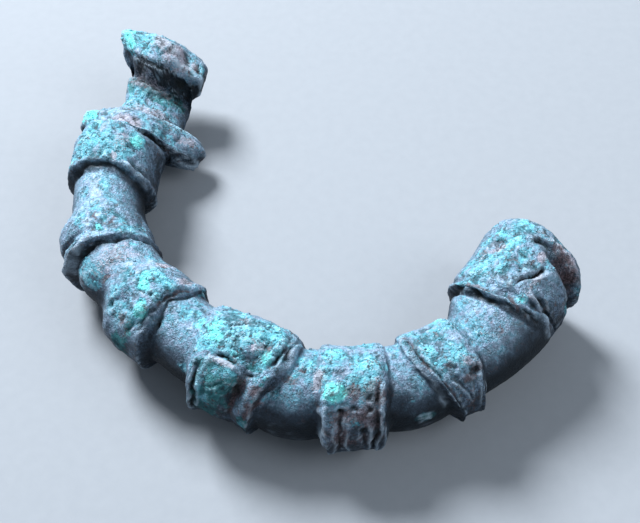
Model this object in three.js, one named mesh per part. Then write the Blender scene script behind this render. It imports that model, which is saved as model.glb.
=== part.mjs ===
// Fibula brooch: one cast bow with banded mouldings, a heavy cap at one end and a broken
// cross-armed foot at the other. The pin is lost. Millimetres, +Z up, lying on its side.
import * as THREE from "three";

// ---- driving dimensions -------------------------------------------------------------
const BOW_RADIUS = 22.5; // radius of the bow's centre line
const BOW_START = -17.5; // bearing of station 0, in degrees
const BOW_END = -190; // bearing where the straight foot leaves the arc
const BAR_RADIUS = 3.5; // plain bar between the mouldings
const BAR_HEIGHT = 4.75; // height of the bar's axis over the ground
const SEGMENTS = 40; // faces round the bar
const SWAY_AT = 45; // station where the bow is flattened inwards
const SWAY_DEPTH = 1.0; // how far the axis moves in there
const SWAY_SPAN = 10;
const FOOT_JOG = 1.2; // sideways set of the foot
const FOOT_JOG_RUN = 9;
const CAP_END = 3.0; // station of the cap's end face
const CAP_END_DROP = 0.13; // slope of the end face: back per millimetre up
const CAP_END_SLEW = 0.21; // and per millimetre out
const FOOT_TIP = 83.0; // station of the foot's broken end
const LOW_SIDE = 30; // the mouldings are thickest at 90 + this, degrees from the top
const CRUSTED_SIDE = -20; // bearing where crust softens the mouldings' edges most
const CRUST_SOFTENING = 0.45; // added there to the length of every shoulder
const NECK_END = 17; // the bar swells from here towards the cap, on its inside
const NECK_SWELL = 0.95;

// Each moulding: its two edges along the bow, the length of its sloping shoulders, how far
// it stands proud on its thin and on its thick side, and the height of its rims.
const BANDS = [
  { name: "cap_ring", from: 10.2, to: 11.1, run: 0.3, soft: 0.3, thin: 0, thick: 0, rim: 0 },
  { name: "band_6", from: 16.6, to: 20.9, run: 0.3, soft: 0.35, thin: 0.65, thick: 1.0, rim: 0.2 },
  { name: "band_5", from: 24.5, to: 29.45, run: 0.3, soft: 0.3, thin: 0.45, thick: 1.5, rim: 0.1 },
  { name: "band_4", from: 33.0, to: 41.0, run: 0.35, soft: 0.6, thin: 0.85, thick: 1.05, rim: 0.1 },
  { name: "band_3", from: 45.6, to: 50.3, run: 0.35, soft: 0.9, thin: 0.5, thick: 1.2, rim: 0.08 },
  { name: "band_2", from: 54.45, to: 59.3, run: 0.3, soft: 1.5, thin: 0.1, thick: 1.65, rim: 0.2 },
  { name: "band_1", from: 64.2, to: 69.9, run: 0.35, soft: 0.9, thin: 1.05, thick: 0.7, rim: 0.15 },
];
const RIM_INSET = 0.42; // middle of a rim from the band's edge
const RIM_WIDTH = 0.34;

// How the rows lean: at each station, the shift towards the cap at the top, on the outside
// and, the other way, on the inside of the bow.
const LEANS = [
  { at: 3.0, top: 0.6, out: -1.0, inn: -1.0 },
  { at: 4.6, top: 0.2, out: -1.1, inn: -1.0 },
  { at: 5.8, top: 0.3, out: -1.5, inn: -1.0 },
  { at: 10.6, top: -1.4, out: 1.9, inn: 1.8 },
  { at: 16.6, top: 0.1, out: -0.3, inn: -0.3 },
  { at: 20.9, top: -1.1, out: 1.75, inn: 0.7 },
  { at: 24.5, top: 0.4, out: -0.45, inn: -0.5 },
  { at: 29.45, top: -0.5, out: 0.1, inn: 0 },
  { at: 33.0, top: 0.75, out: -1.6, inn: -1.0 },
  { at: 41.0, top: 0, out: 0.85, inn: 1.2 },
  { at: 45.6, top: 0, out: 0.8, inn: -0.9 },
  { at: 50.3, top: -0.3, out: 0.5, inn: 0.3 },
  { at: 54.45, top: -0.3, out: -0.9, inn: -0.2 },
  { at: 59.3, top: 0.2, out: 0, inn: 0 },
  { at: 64.2, top: 0, out: 0, inn: -1.8 },
  { at: 69.9, top: 0, out: 0.3, inn: 0 },
  { at: 74.0, top: 0, out: -0.2, inn: -0.2 },
  { at: 78.2, top: 0, out: -1.9, inn: -0.5 },
  { at: 83.0, top: -0.5, out: -1.3, inn: -0.1 },
];

// Cap: a fat drum set inwards of the bar. On the outside a deep groove parts it from its
// end disc; on the inside the two are one mass.
const CAP_RADIUS = 5.1;
const CAP_DRUM_FROM = 5.1;
const CAP_INWARD = 1.7;
const CAP_UP = 0.12;
const CAP_TAPER = 0.55; // lost at the drum's foot on the inside
const CAP_FOOT = 11.1; // where the drum drops to the bar
const DISC_RADIUS = 4.3;
const DISC_INWARD = 0.6;
const DISC_LENGTH = 1.15;
const CAP_GROOVE_DEPTH = 1.5;
const CAP_GROOVE_BEARING = 80; // middle of the groove, degrees from the top
const CAP_GROOVE_REACH = 85; // how far it runs each way

// Foot sections: reach to the inside and outside, half height in the middle and at the
// ends of the arms, lift of the middle and roll (outside end up, degrees).
const FOOT = [
  { at: 69.4, inside: 3.5, outside: 3.5, mid: 3.5, arm: 3.5, lift: 0, roll: 0 },
  { at: 70.3, inside: 4.4, outside: 4.4, mid: 3.2, arm: 2.8, lift: 0, roll: 10 },
  { at: 71.0, inside: 7.3, outside: 5.2, mid: 2.6, arm: 1.9, lift: -0.1, roll: 18 },
  { at: 72.2, inside: 7.7, outside: 5.3, mid: 2.5, arm: 1.9, lift: -0.1, roll: 18 },
  { at: 73.2, inside: 6.9, outside: 4.4, mid: 2.3, arm: 2.1, lift: -0.2, roll: 17 },
  { at: 74.0, inside: 4.2, outside: 3.5, mid: 2.2, arm: 2.0, lift: -0.9, roll: 15 },
  { at: 75.8, inside: 3.7, outside: 3.1, mid: 2.0, arm: 1.9, lift: -1.2, roll: 12 },
  { at: 77.6, inside: 3.8, outside: 3.0, mid: 2.0, arm: 1.9, lift: -1.1, roll: 12 },
  { at: 78.3, inside: 4.2, outside: 3.7, mid: 2.3, arm: 2.0, lift: 0.9, roll: 13 },
  { at: 79.2, inside: 4.9, outside: 4.5, mid: 2.4, arm: 1.9, lift: 1.2, roll: 13 },
  { at: 82.0, inside: 4.9, outside: 4.8, mid: 2.2, arm: 1.8, lift: 1.2, roll: 13 },
  { at: 83.0, inside: 4.3, outside: 4.2, mid: 1.7, arm: 1.3, lift: 1.0, roll: 13 },
];

// Lumps and hollows of the worn and crusted surface: station, bearing from the top in
// degrees, half length along the bow, half width round it, height.
const LUMPS = [
  { name: "cap_split", at: 7.9, bearing: -4, along: 1.1, round: 0.9, height: -0.5 },
  { name: "band_6_foot", at: 22.6, bearing: 116, along: 1.7, round: 2.4, height: 0.6 },
  { name: "band_5_belly", at: 26.8, bearing: 110, along: 2.2, round: 4.0, height: 0.12 },
  { name: "band_4_upper", at: 37.0, bearing: -18, along: 2.6, round: 2.6, height: 0.5 },
  { name: "band_4_crest", at: 36.4, bearing: -66, along: 2.4, round: 3.0, height: 0.5 },
  { name: "band_4_lower", at: 37.9, bearing: 48, along: 1.6, round: 2.8, height: 0.35 },
  { name: "band_4_trench", at: 35.6, bearing: 55, along: 0.7, round: 2.6, height: -0.75 },
  { name: "band_4_cleft", at: 36.6, bearing: 16, along: 2.4, round: 0.7, height: -0.4 },
  { name: "band_4_rim", at: 33.2, bearing: -10, along: 0.9, round: 5.0, height: -0.4 },
  { name: "band_4_seat", at: 37.0, bearing: 180, along: 2.6, round: 3.0, height: 0.5 },
  { name: "band_4_foot", at: 31.4, bearing: 120, along: 2.1, round: 3.0, height: 1.05 },
  { name: "band_4_flange", at: 40.3, bearing: 88, along: 0.8, round: 2.8, height: 0.65 },
  { name: "band_3_lump", at: 47.8, bearing: -5, along: 1.8, round: 3.0, height: 0.4 },
  { name: "band_3_pit", at: 48.7, bearing: 40, along: 0.7, round: 1.3, height: -0.6 },
  { name: "band_3_spur", at: 45.6, bearing: -62, along: 0.9, round: 1.2, height: 0.5 },
  { name: "band_3_belly", at: 48.8, bearing: 100, along: 1.6, round: 2.6, height: 0.4 },
  { name: "band_2_groove", at: 56.1, bearing: 85, along: 0.35, round: 3.4, height: -0.45 },
  { name: "band_1_lump", at: 67.6, bearing: 45, along: 1.8, round: 2.4, height: 0.3 },
  { name: "band_1_merge", at: 70.2, bearing: 25, along: 1.2, round: 2.6, height: 0.4 },
  { name: "band_1_notch", at: 70.1, bearing: -52, along: 0.8, round: 1.8, height: -0.6 },
  { name: "band_1_seat", at: 67.2, bearing: 180, along: 1.8, round: 2.8, height: 0.7 },
  { name: "left_horn", at: 81.2, bearing: 58, along: 1.7, round: 1.6, height: 0.9 },
  { name: "middle_horn", at: 81.4, bearing: 2, along: 1.5, round: 1.3, height: 0.8 },
  { name: "right_horn", at: 79.6, bearing: -56, along: 1.3, round: 1.3, height: 0.6 },
  { name: "tip_notch", at: 81.2, bearing: -32, along: 1.2, round: 0.8, height: -0.6 },
];

// ---- small helpers --------------------------------------------------------------------
const rad = (degrees) => (degrees * Math.PI) / 180;
const mix = (a, b, t) => a + (b - a) * t;
const clamp01 = (v) => Math.min(1, Math.max(0, v));
const smooth = (a, b, v) => {
  const t = clamp01((v - a) / (b - a));
  return t * t * (3 - 2 * t);
};
const wrap = (turn) => Math.atan2(Math.sin(turn), Math.cos(turn));
const hump = (v, middle, half) => Math.exp(-(((v - middle) / half) ** 2));

// Value of a named field of a table at a station, eased between its rows.
function along(table, field, station, ease) {
  if (station <= table[0].at) return table[0][field];
  for (let i = 1; i < table.length; i++) {
    if (station <= table[i].at) {
      const t = (station - table[i - 1].at) / (table[i].at - table[i - 1].at);
      return mix(table[i - 1][field], table[i][field], ease ? smooth(0, 1, t) : t);
    }
  }
  return table[table.length - 1][field];
}

// ---- centre line ------------------------------------------------------------------------
const ARC_LENGTH = rad(BOW_START - BOW_END) * BOW_RADIUS;

// Point on the axis and the outward direction there.
function axisAt(station) {
  const bearing = rad(BOW_START) - Math.min(station, ARC_LENGTH) / BOW_RADIUS;
  const outX = Math.cos(bearing);
  const outY = Math.sin(bearing);
  const past = Math.max(station - ARC_LENGTH, 0);
  const inward = SWAY_DEPTH * hump(station, SWAY_AT, SWAY_SPAN)
    + FOOT_JOG * smooth(0, FOOT_JOG_RUN, past);
  const x = outX * (BOW_RADIUS - inward) + outY * past;
  const y = outY * (BOW_RADIUS - inward) - outX * past;
  return { x, y, outX, outY };
}

// ---- cross-section ------------------------------------------------------------------------
function bandHeight(station, angle) {
  const side = 0.5 + 0.5 * Math.sin(angle - rad(LOW_SIDE));
  const soften = CRUST_SOFTENING * smooth(0.2, 0.9, Math.cos(angle - rad(CRUSTED_SIDE)));
  let height = 0;
  for (const band of BANDS) {
    const up = smooth(band.from - band.run - soften, band.from + band.run + soften, station);
    const down = smooth(band.to - band.soft - soften, band.to + band.soft + soften, station);
    const first = hump(station, band.from + RIM_INSET, RIM_WIDTH);
    const last = hump(station, band.to - RIM_INSET, RIM_WIDTH);
    height += mix(band.thin, band.thick, side) * up * (1 - down);
    const rims = first + (band.soft > 0.5 ? 0 : last);
    height += band.rim * rims * (1 - soften);
  }
  return height;
}

function lumpHeight(station, angle, radius) {
  let height = 0;
  for (const lump of LUMPS) {
    const turn = wrap(angle - rad(lump.bearing));
    height += lump.height * hump(station, lump.at, lump.along)
      * hump(turn * radius, 0, lump.round);
  }
  return height;
}

// Offset of the surface from the axis: out (sideways) and up, at a station and an angle
// measured from the top towards the outside.
function sectionAt(station, angle) {
  const inCap = 1 - smooth(CAP_FOOT - 0.3, CAP_FOOT + 0.3, station);
  const inFoot = smooth(FOOT[0].at, FOOT[1].at, station);
  const sine = Math.sin(angle);
  const cosine = Math.cos(angle);
  const swell = NECK_SWELL * (1 - smooth(CAP_FOOT, NECK_END, station));
  let out = (BAR_RADIUS + swell) * sine - swell;
  let up = (BAR_RADIUS + 0.7 * swell) * cosine;
  if (inCap > 0) {
    const turned = wrap(angle - rad(CAP_GROOVE_BEARING));
    const reach = rad(CAP_GROOVE_REACH);
    const open = 1 - smooth(reach * 0.6, reach, Math.abs(turned));
    const behind = CAP_END + DISC_LENGTH;
    const drum = mix(1, smooth(behind, CAP_DRUM_FROM + 0.2, station), open);
    const middle = (behind + CAP_DRUM_FROM) / 2 - 0.1;
    const dip = CAP_GROOVE_DEPTH * open * hump(station, middle, 0.5);
    const edge = 0.45 * hump(station, CAP_END, 0.4);
    const ring = 0.25 * hump(station, CAP_FOOT - 1.0, 0.3);
    const taper = CAP_TAPER * (0.5 - 0.5 * sine) * smooth(8.8, CAP_FOOT, station);
    const radius = mix(DISC_RADIUS, CAP_RADIUS, drum) - dip - edge - ring - taper;
    const inward = mix(DISC_INWARD, CAP_INWARD, drum);
    out = mix(out, radius * sine - inward, inCap);
    up = mix(up, radius * cosine + CAP_UP, inCap);
  }
  if (inFoot > 0) {
    const reach = along(FOOT, sine > 0 ? "outside" : "inside", station, true);
    const mid = along(FOOT, "mid", station, true);
    const arm = along(FOOT, "arm", station, true);
    const roll = rad(along(FOOT, "roll", station, true));
    const side = reach * sine;
    const rise = cosine * mix(arm, mid, Math.exp(-((side / 3.2) ** 4)));
    out = side * Math.cos(roll) - rise * Math.sin(roll);
    up = side * Math.sin(roll) + rise * Math.cos(roll);
    up += along(FOOT, "lift", station, true);
  }
  const size = Math.hypot(out, up);
  const proud = bandHeight(station, angle) * (1 - inFoot)
    + lumpHeight(station, angle, size);
  return { out: out * (1 + proud / size), up: up * (1 + proud / size) };
}

function leanAt(station, angle) {
  const sine = Math.sin(angle);
  const top = along(LEANS, "top", station, false);
  const side = along(LEANS, sine > 0 ? "out" : "inn", station, false);
  return -(top * Math.cos(angle) + side * sine);
}

// Where a point of the straight blank lands: fill 0 is the axis and 1 the surface.
function place(station, angle, fill) {
  const section = sectionAt(station, angle);
  const sideways = section.out * fill;
  const upwards = section.up * fill;
  const isFace = station === CAP_END;
  const lean = isFace ? 0 : leanAt(station, angle) * fill;
  const slope = isFace ? CAP_END_SLEW * sideways - CAP_END_DROP * upwards : 0;
  const axis = axisAt(station + lean);
  const x = axis.x + axis.outX * sideways + axis.outY * slope;
  const y = axis.y + axis.outY * sideways - axis.outX * slope;
  return new THREE.Vector3(x, y, Math.max(BAR_HEIGHT + upwards, 0));
}

// ---- rows along the bow --------------------------------------------------------------------
// Close rows at every edge and rim, wide ones on the plain bar.
function rowStations() {
  const rows = [CAP_END, CAP_END + 0.4, CAP_END + 0.9, CAP_END + DISC_LENGTH];
  const middle = (CAP_END + DISC_LENGTH + CAP_DRUM_FROM) / 2;
  rows.push(middle, CAP_DRUM_FROM, 6.7, 7.4, 8.1, 8.9, 9.5);
  for (const band of BANDS) {
    rows.push(band.from - band.run, band.from);
    rows.push(band.from + RIM_INSET, band.from + 2.1 * RIM_INSET);
    const start = band.from + 2.1 * RIM_INSET;
    const stop = band.to - 2.1 * RIM_INSET;
    const count = Math.max(1, Math.round((stop - start) / 0.8));
    for (let i = 1; i < count; i++) rows.push(mix(start, stop, i / count));
    rows.push(stop, band.to - RIM_INSET, band.to, band.to + band.soft);
  }
  for (const section of FOOT) rows.push(section.at);
  rows.push(70.7, 71.6, 73.6, 74.8, 76.8, 77.9, 80.0, 80.8, 81.5);
  rows.sort((a, b) => a - b);
  const kept = [rows[0]];
  for (const row of rows.slice(1)) {
    const last = kept[kept.length - 1];
    if (row - last < 0.16) continue;
    const steps = Math.ceil((row - last) / 1.35);
    for (let i = 1; i <= steps; i++) kept.push(mix(last, row, i / steps));
  }
  return kept;
}

// ---- the casting ------------------------------------------------------------------------------
function castBow() {
  const stations = rowStations();
  const first = stations[0];
  const last = stations[stations.length - 1];
  const blank = [new THREE.Vector2(0, first), new THREE.Vector2(0.55, first)];
  for (const station of stations) blank.push(new THREE.Vector2(1, station));
  blank.push(new THREE.Vector2(0.55, last), new THREE.Vector2(0, last));
  blank.reverse(); // from the foot to the cap, so that the faces point outwards
  const geometry = new THREE.LatheGeometry(blank, SEGMENTS);
  const points = geometry.getAttribute("position");
  for (let i = 0; i < points.count; i++) {
    const row = blank[i % blank.length];
    const turn = Math.floor(i / blank.length) % SEGMENTS;
    const spot = place(row.y, (turn / SEGMENTS) * 2 * Math.PI, row.x);
    points.setXYZ(i, spot.x, spot.y, spot.z);
  }
  geometry.computeBoundingBox();
  const box = geometry.boundingBox;
  geometry.translate(-(box.min.x + box.max.x) / 2, -(box.min.y + box.max.y) / 2, 0);
  geometry.computeVertexNormals();
  return geometry;
}

const bronze = new THREE.MeshStandardMaterial({
  name: "patinated_bronze",
  color: 0x4a6a66,
  metalness: 0.9,
  roughness: 0.3,
});

const fibula = new THREE.Mesh(castBow(), bronze);
fibula.name = "fibula_bow";

const group = new THREE.Group();
group.name = "fibula_brooch";
group.add(fibula);

export default group;
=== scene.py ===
"""Looks of an old cast-bronze fibula brooch, lying on its side.

The casting is worked out again from its own sizes on a finer grid, and the cracks, thin
ridges, pits and corrosion crust are cut into that mesh. Sizes are millimetres until a mesh
is finished, and metres from there on.

A place on the casting is given by its station, in millimetres along the bow from the cap,
and its bearing, in degrees from the top: 90 is the outside of the bow, -90 the inside.
"""

import math

import bpy
import numpy as np
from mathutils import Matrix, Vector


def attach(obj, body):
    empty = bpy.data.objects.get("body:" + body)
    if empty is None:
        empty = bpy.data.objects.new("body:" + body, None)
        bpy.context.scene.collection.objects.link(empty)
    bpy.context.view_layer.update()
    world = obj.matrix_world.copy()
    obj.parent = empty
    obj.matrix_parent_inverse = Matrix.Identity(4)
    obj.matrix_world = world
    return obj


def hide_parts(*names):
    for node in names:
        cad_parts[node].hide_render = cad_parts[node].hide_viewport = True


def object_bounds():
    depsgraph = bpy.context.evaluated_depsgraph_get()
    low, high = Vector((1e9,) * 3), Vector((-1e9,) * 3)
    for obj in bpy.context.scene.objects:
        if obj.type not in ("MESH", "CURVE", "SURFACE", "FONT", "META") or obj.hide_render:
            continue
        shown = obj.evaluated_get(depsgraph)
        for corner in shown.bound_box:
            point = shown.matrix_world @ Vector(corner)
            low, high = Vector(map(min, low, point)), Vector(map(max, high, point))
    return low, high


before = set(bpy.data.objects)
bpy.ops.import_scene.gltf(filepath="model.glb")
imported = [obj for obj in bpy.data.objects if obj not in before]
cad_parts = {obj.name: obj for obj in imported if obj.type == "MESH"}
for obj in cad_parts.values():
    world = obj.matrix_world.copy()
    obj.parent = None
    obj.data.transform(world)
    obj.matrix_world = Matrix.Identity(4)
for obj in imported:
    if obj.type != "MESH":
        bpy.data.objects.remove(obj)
CAD_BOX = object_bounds()
MM = 0.001

# ---- sizes of the casting ----------------------------------------------------
BOW_RADIUS = 22.5
BOW_START = -17.5
BOW_END = -190.0
BAR_RADIUS = 3.5
BAR_HEIGHT = 4.75
SWAY_AT, SWAY_DEPTH, SWAY_SPAN = 45.0, 1.0, 10.0
FOOT_JOG, FOOT_JOG_RUN = 1.2, 9.0
CAP_END = 3.0
CAP_END_DROP, CAP_END_SLEW = 0.13, 0.21
FOOT_TIP = 83.0
LOW_SIDE = 30.0
CRUSTED_SIDE, CRUST_SOFTENING = -20.0, 0.45
NECK_END, NECK_SWELL, NECK_TALL = 17.0, 0.95, 0.7
RIM_INSET, RIM_WIDTH = 0.42, 0.34
SOFT_SHOULDER = 0.5  # a longer last shoulder carries no rim
CAP_RADIUS, CAP_DRUM_FROM, CAP_INWARD, CAP_UP, CAP_FOOT = 5.1, 5.1, 1.7, 0.12, 11.1
CAP_TAPER, CAP_TAPER_FROM, CAP_BLEND = 0.55, 8.8, 0.3
CAP_DRUM_SOFT = 0.2
DISC_RADIUS, DISC_INWARD, DISC_LENGTH = 4.3, 0.6, 1.15
END_EDGE_DROP, END_EDGE_WIDTH = 0.45, 0.4
CAP_GROOVE_DEPTH, CAP_GROOVE_BEARING, CAP_GROOVE_REACH = 1.5, 80.0, 85.0
CAP_GROOVE_FULL = 0.6  # share of its reach over which the groove is at its full depth
CAP_GROOVE_WIDTH, CAP_GROOVE_SET = 0.5, 0.1
CAP_RING_DEPTH, CAP_RING_WIDTH, CAP_RING_BACK = 0.25, 0.3, 1.0
FOOT_MIDDLE = 3.2  # how far the foot's high middle reaches to each side

# name, first edge, last edge, shoulder, last shoulder, proud at thin side, at thick side, rim
BANDS = [
    ("cap_ring", 10.2, 11.1, 0.3, 0.3, 0, 0, 0),
    ("band_6", 16.6, 20.9, 0.3, 0.35, 0.65, 1.0, 0.2),
    ("band_5", 24.5, 29.45, 0.3, 0.3, 0.45, 1.5, 0.1),
    ("band_4", 33.0, 41.0, 0.35, 0.6, 0.85, 1.05, 0.1),
    ("band_3", 45.6, 50.3, 0.35, 0.9, 0.5, 1.2, 0.08),
    ("band_2", 54.45, 59.3, 0.3, 1.5, 0.1, 1.65, 0.2),
    ("band_1", 64.2, 69.9, 0.35, 0.9, 1.05, 0.7, 0.15),
]

# station, shift towards the cap at the top and on the outside, towards the foot on the inside
LEANS = [
    (3.0, 0.6, -1.0, -1.0),
    (4.6, 0.2, -1.1, -1.0),
    (5.8, 0.3, -1.5, -1.0),
    (10.6, -1.4, 1.9, 1.8),
    (16.6, 0.1, -0.3, -0.3),
    (20.9, -1.1, 1.75, 0.7),
    (24.5, 0.4, -0.45, -0.5),
    (29.45, -0.5, 0.1, 0),
    (33.0, 0.75, -1.6, -1.0),
    (41.0, 0, 0.85, 1.2),
    (45.6, 0, 0.8, -0.9),
    (50.3, -0.3, 0.5, 0.3),
    (54.45, -0.3, -0.9, -0.2),
    (59.3, 0.2, 0, 0),
    (64.2, 0, 0, -1.8),
    (69.9, 0, 0.3, 0),
    (74.0, 0, -0.2, -0.2),
    (78.2, 0, -1.9, -0.5),
    (83.0, -0.5, -1.3, -0.1),
]

# station, reach inside, reach outside, half height in the middle, of the arms, lift, roll
FOOT = [
    (69.4, 3.5, 3.5, 3.5, 3.5, 0, 0),
    (70.3, 4.4, 4.4, 3.2, 2.8, 0, 10),
    (71.0, 7.3, 5.2, 2.6, 1.9, -0.1, 18),
    (72.2, 7.7, 5.3, 2.5, 1.9, -0.1, 18),
    (73.2, 6.9, 4.4, 2.3, 2.1, -0.2, 17),
    (74.0, 4.2, 3.5, 2.2, 2.0, -0.9, 15),
    (75.8, 3.7, 3.1, 2.0, 1.9, -1.2, 12),
    (77.6, 3.8, 3.0, 2.0, 1.9, -1.1, 12),
    (78.3, 4.2, 3.7, 2.3, 2.0, 0.9, 13),
    (79.2, 4.9, 4.5, 2.4, 1.9, 1.2, 13),
    (82.0, 4.9, 4.8, 2.2, 1.8, 1.2, 13),
    (83.0, 4.3, 4.2, 1.7, 1.3, 1.0, 13),
]

# name, station, bearing, half length, half width round the bar, height
LUMPS = [
    ("cap_split", 7.9, -4, 1.1, 0.9, -0.5),
    ("band_6_foot", 22.6, 116, 1.7, 2.4, 0.6),
    ("band_5_belly", 26.8, 110, 2.2, 4.0, 0.12),
    ("band_4_upper", 37.0, -18, 2.6, 2.6, 0.5),
    ("band_4_crest", 36.4, -66, 2.4, 3.0, 0.5),
    ("band_4_lower", 37.9, 48, 1.6, 2.8, 0.35),
    ("band_4_trench", 35.6, 55, 0.7, 2.6, -0.75),
    ("band_4_cleft", 36.6, 16, 2.4, 0.7, -0.4),
    ("band_4_rim", 33.2, -10, 0.9, 5.0, -0.4),
    ("band_4_seat", 37.0, 180, 2.6, 3.0, 0.5),
    ("band_4_foot", 31.4, 120, 2.1, 3.0, 1.05),
    ("band_4_flange", 40.3, 88, 0.8, 2.8, 0.65),
    ("band_3_lump", 47.8, -5, 1.8, 3.0, 0.4),
    ("band_3_pit", 48.7, 40, 0.7, 1.3, -0.6),
    ("band_3_spur", 45.6, -62, 0.9, 1.2, 0.5),
    ("band_3_belly", 48.8, 100, 1.6, 2.6, 0.4),
    ("band_2_groove", 56.1, 85, 0.35, 3.4, -0.45),
    ("band_1_lump", 67.6, 45, 1.8, 2.4, 0.3),
    ("band_1_merge", 70.2, 25, 1.2, 2.6, 0.4),
    ("band_1_notch", 70.1, -52, 0.8, 1.8, -0.6),
    ("band_1_seat", 67.2, 180, 1.8, 2.8, 0.7),
    ("left_horn", 81.2, 58, 1.7, 1.6, 0.9),
    ("middle_horn", 81.4, 2, 1.5, 1.3, 0.8),
    ("right_horn", 79.6, -56, 1.3, 1.3, 0.6),
    ("tip_notch", 81.2, -32, 1.2, 0.8, -0.6),
]

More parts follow.
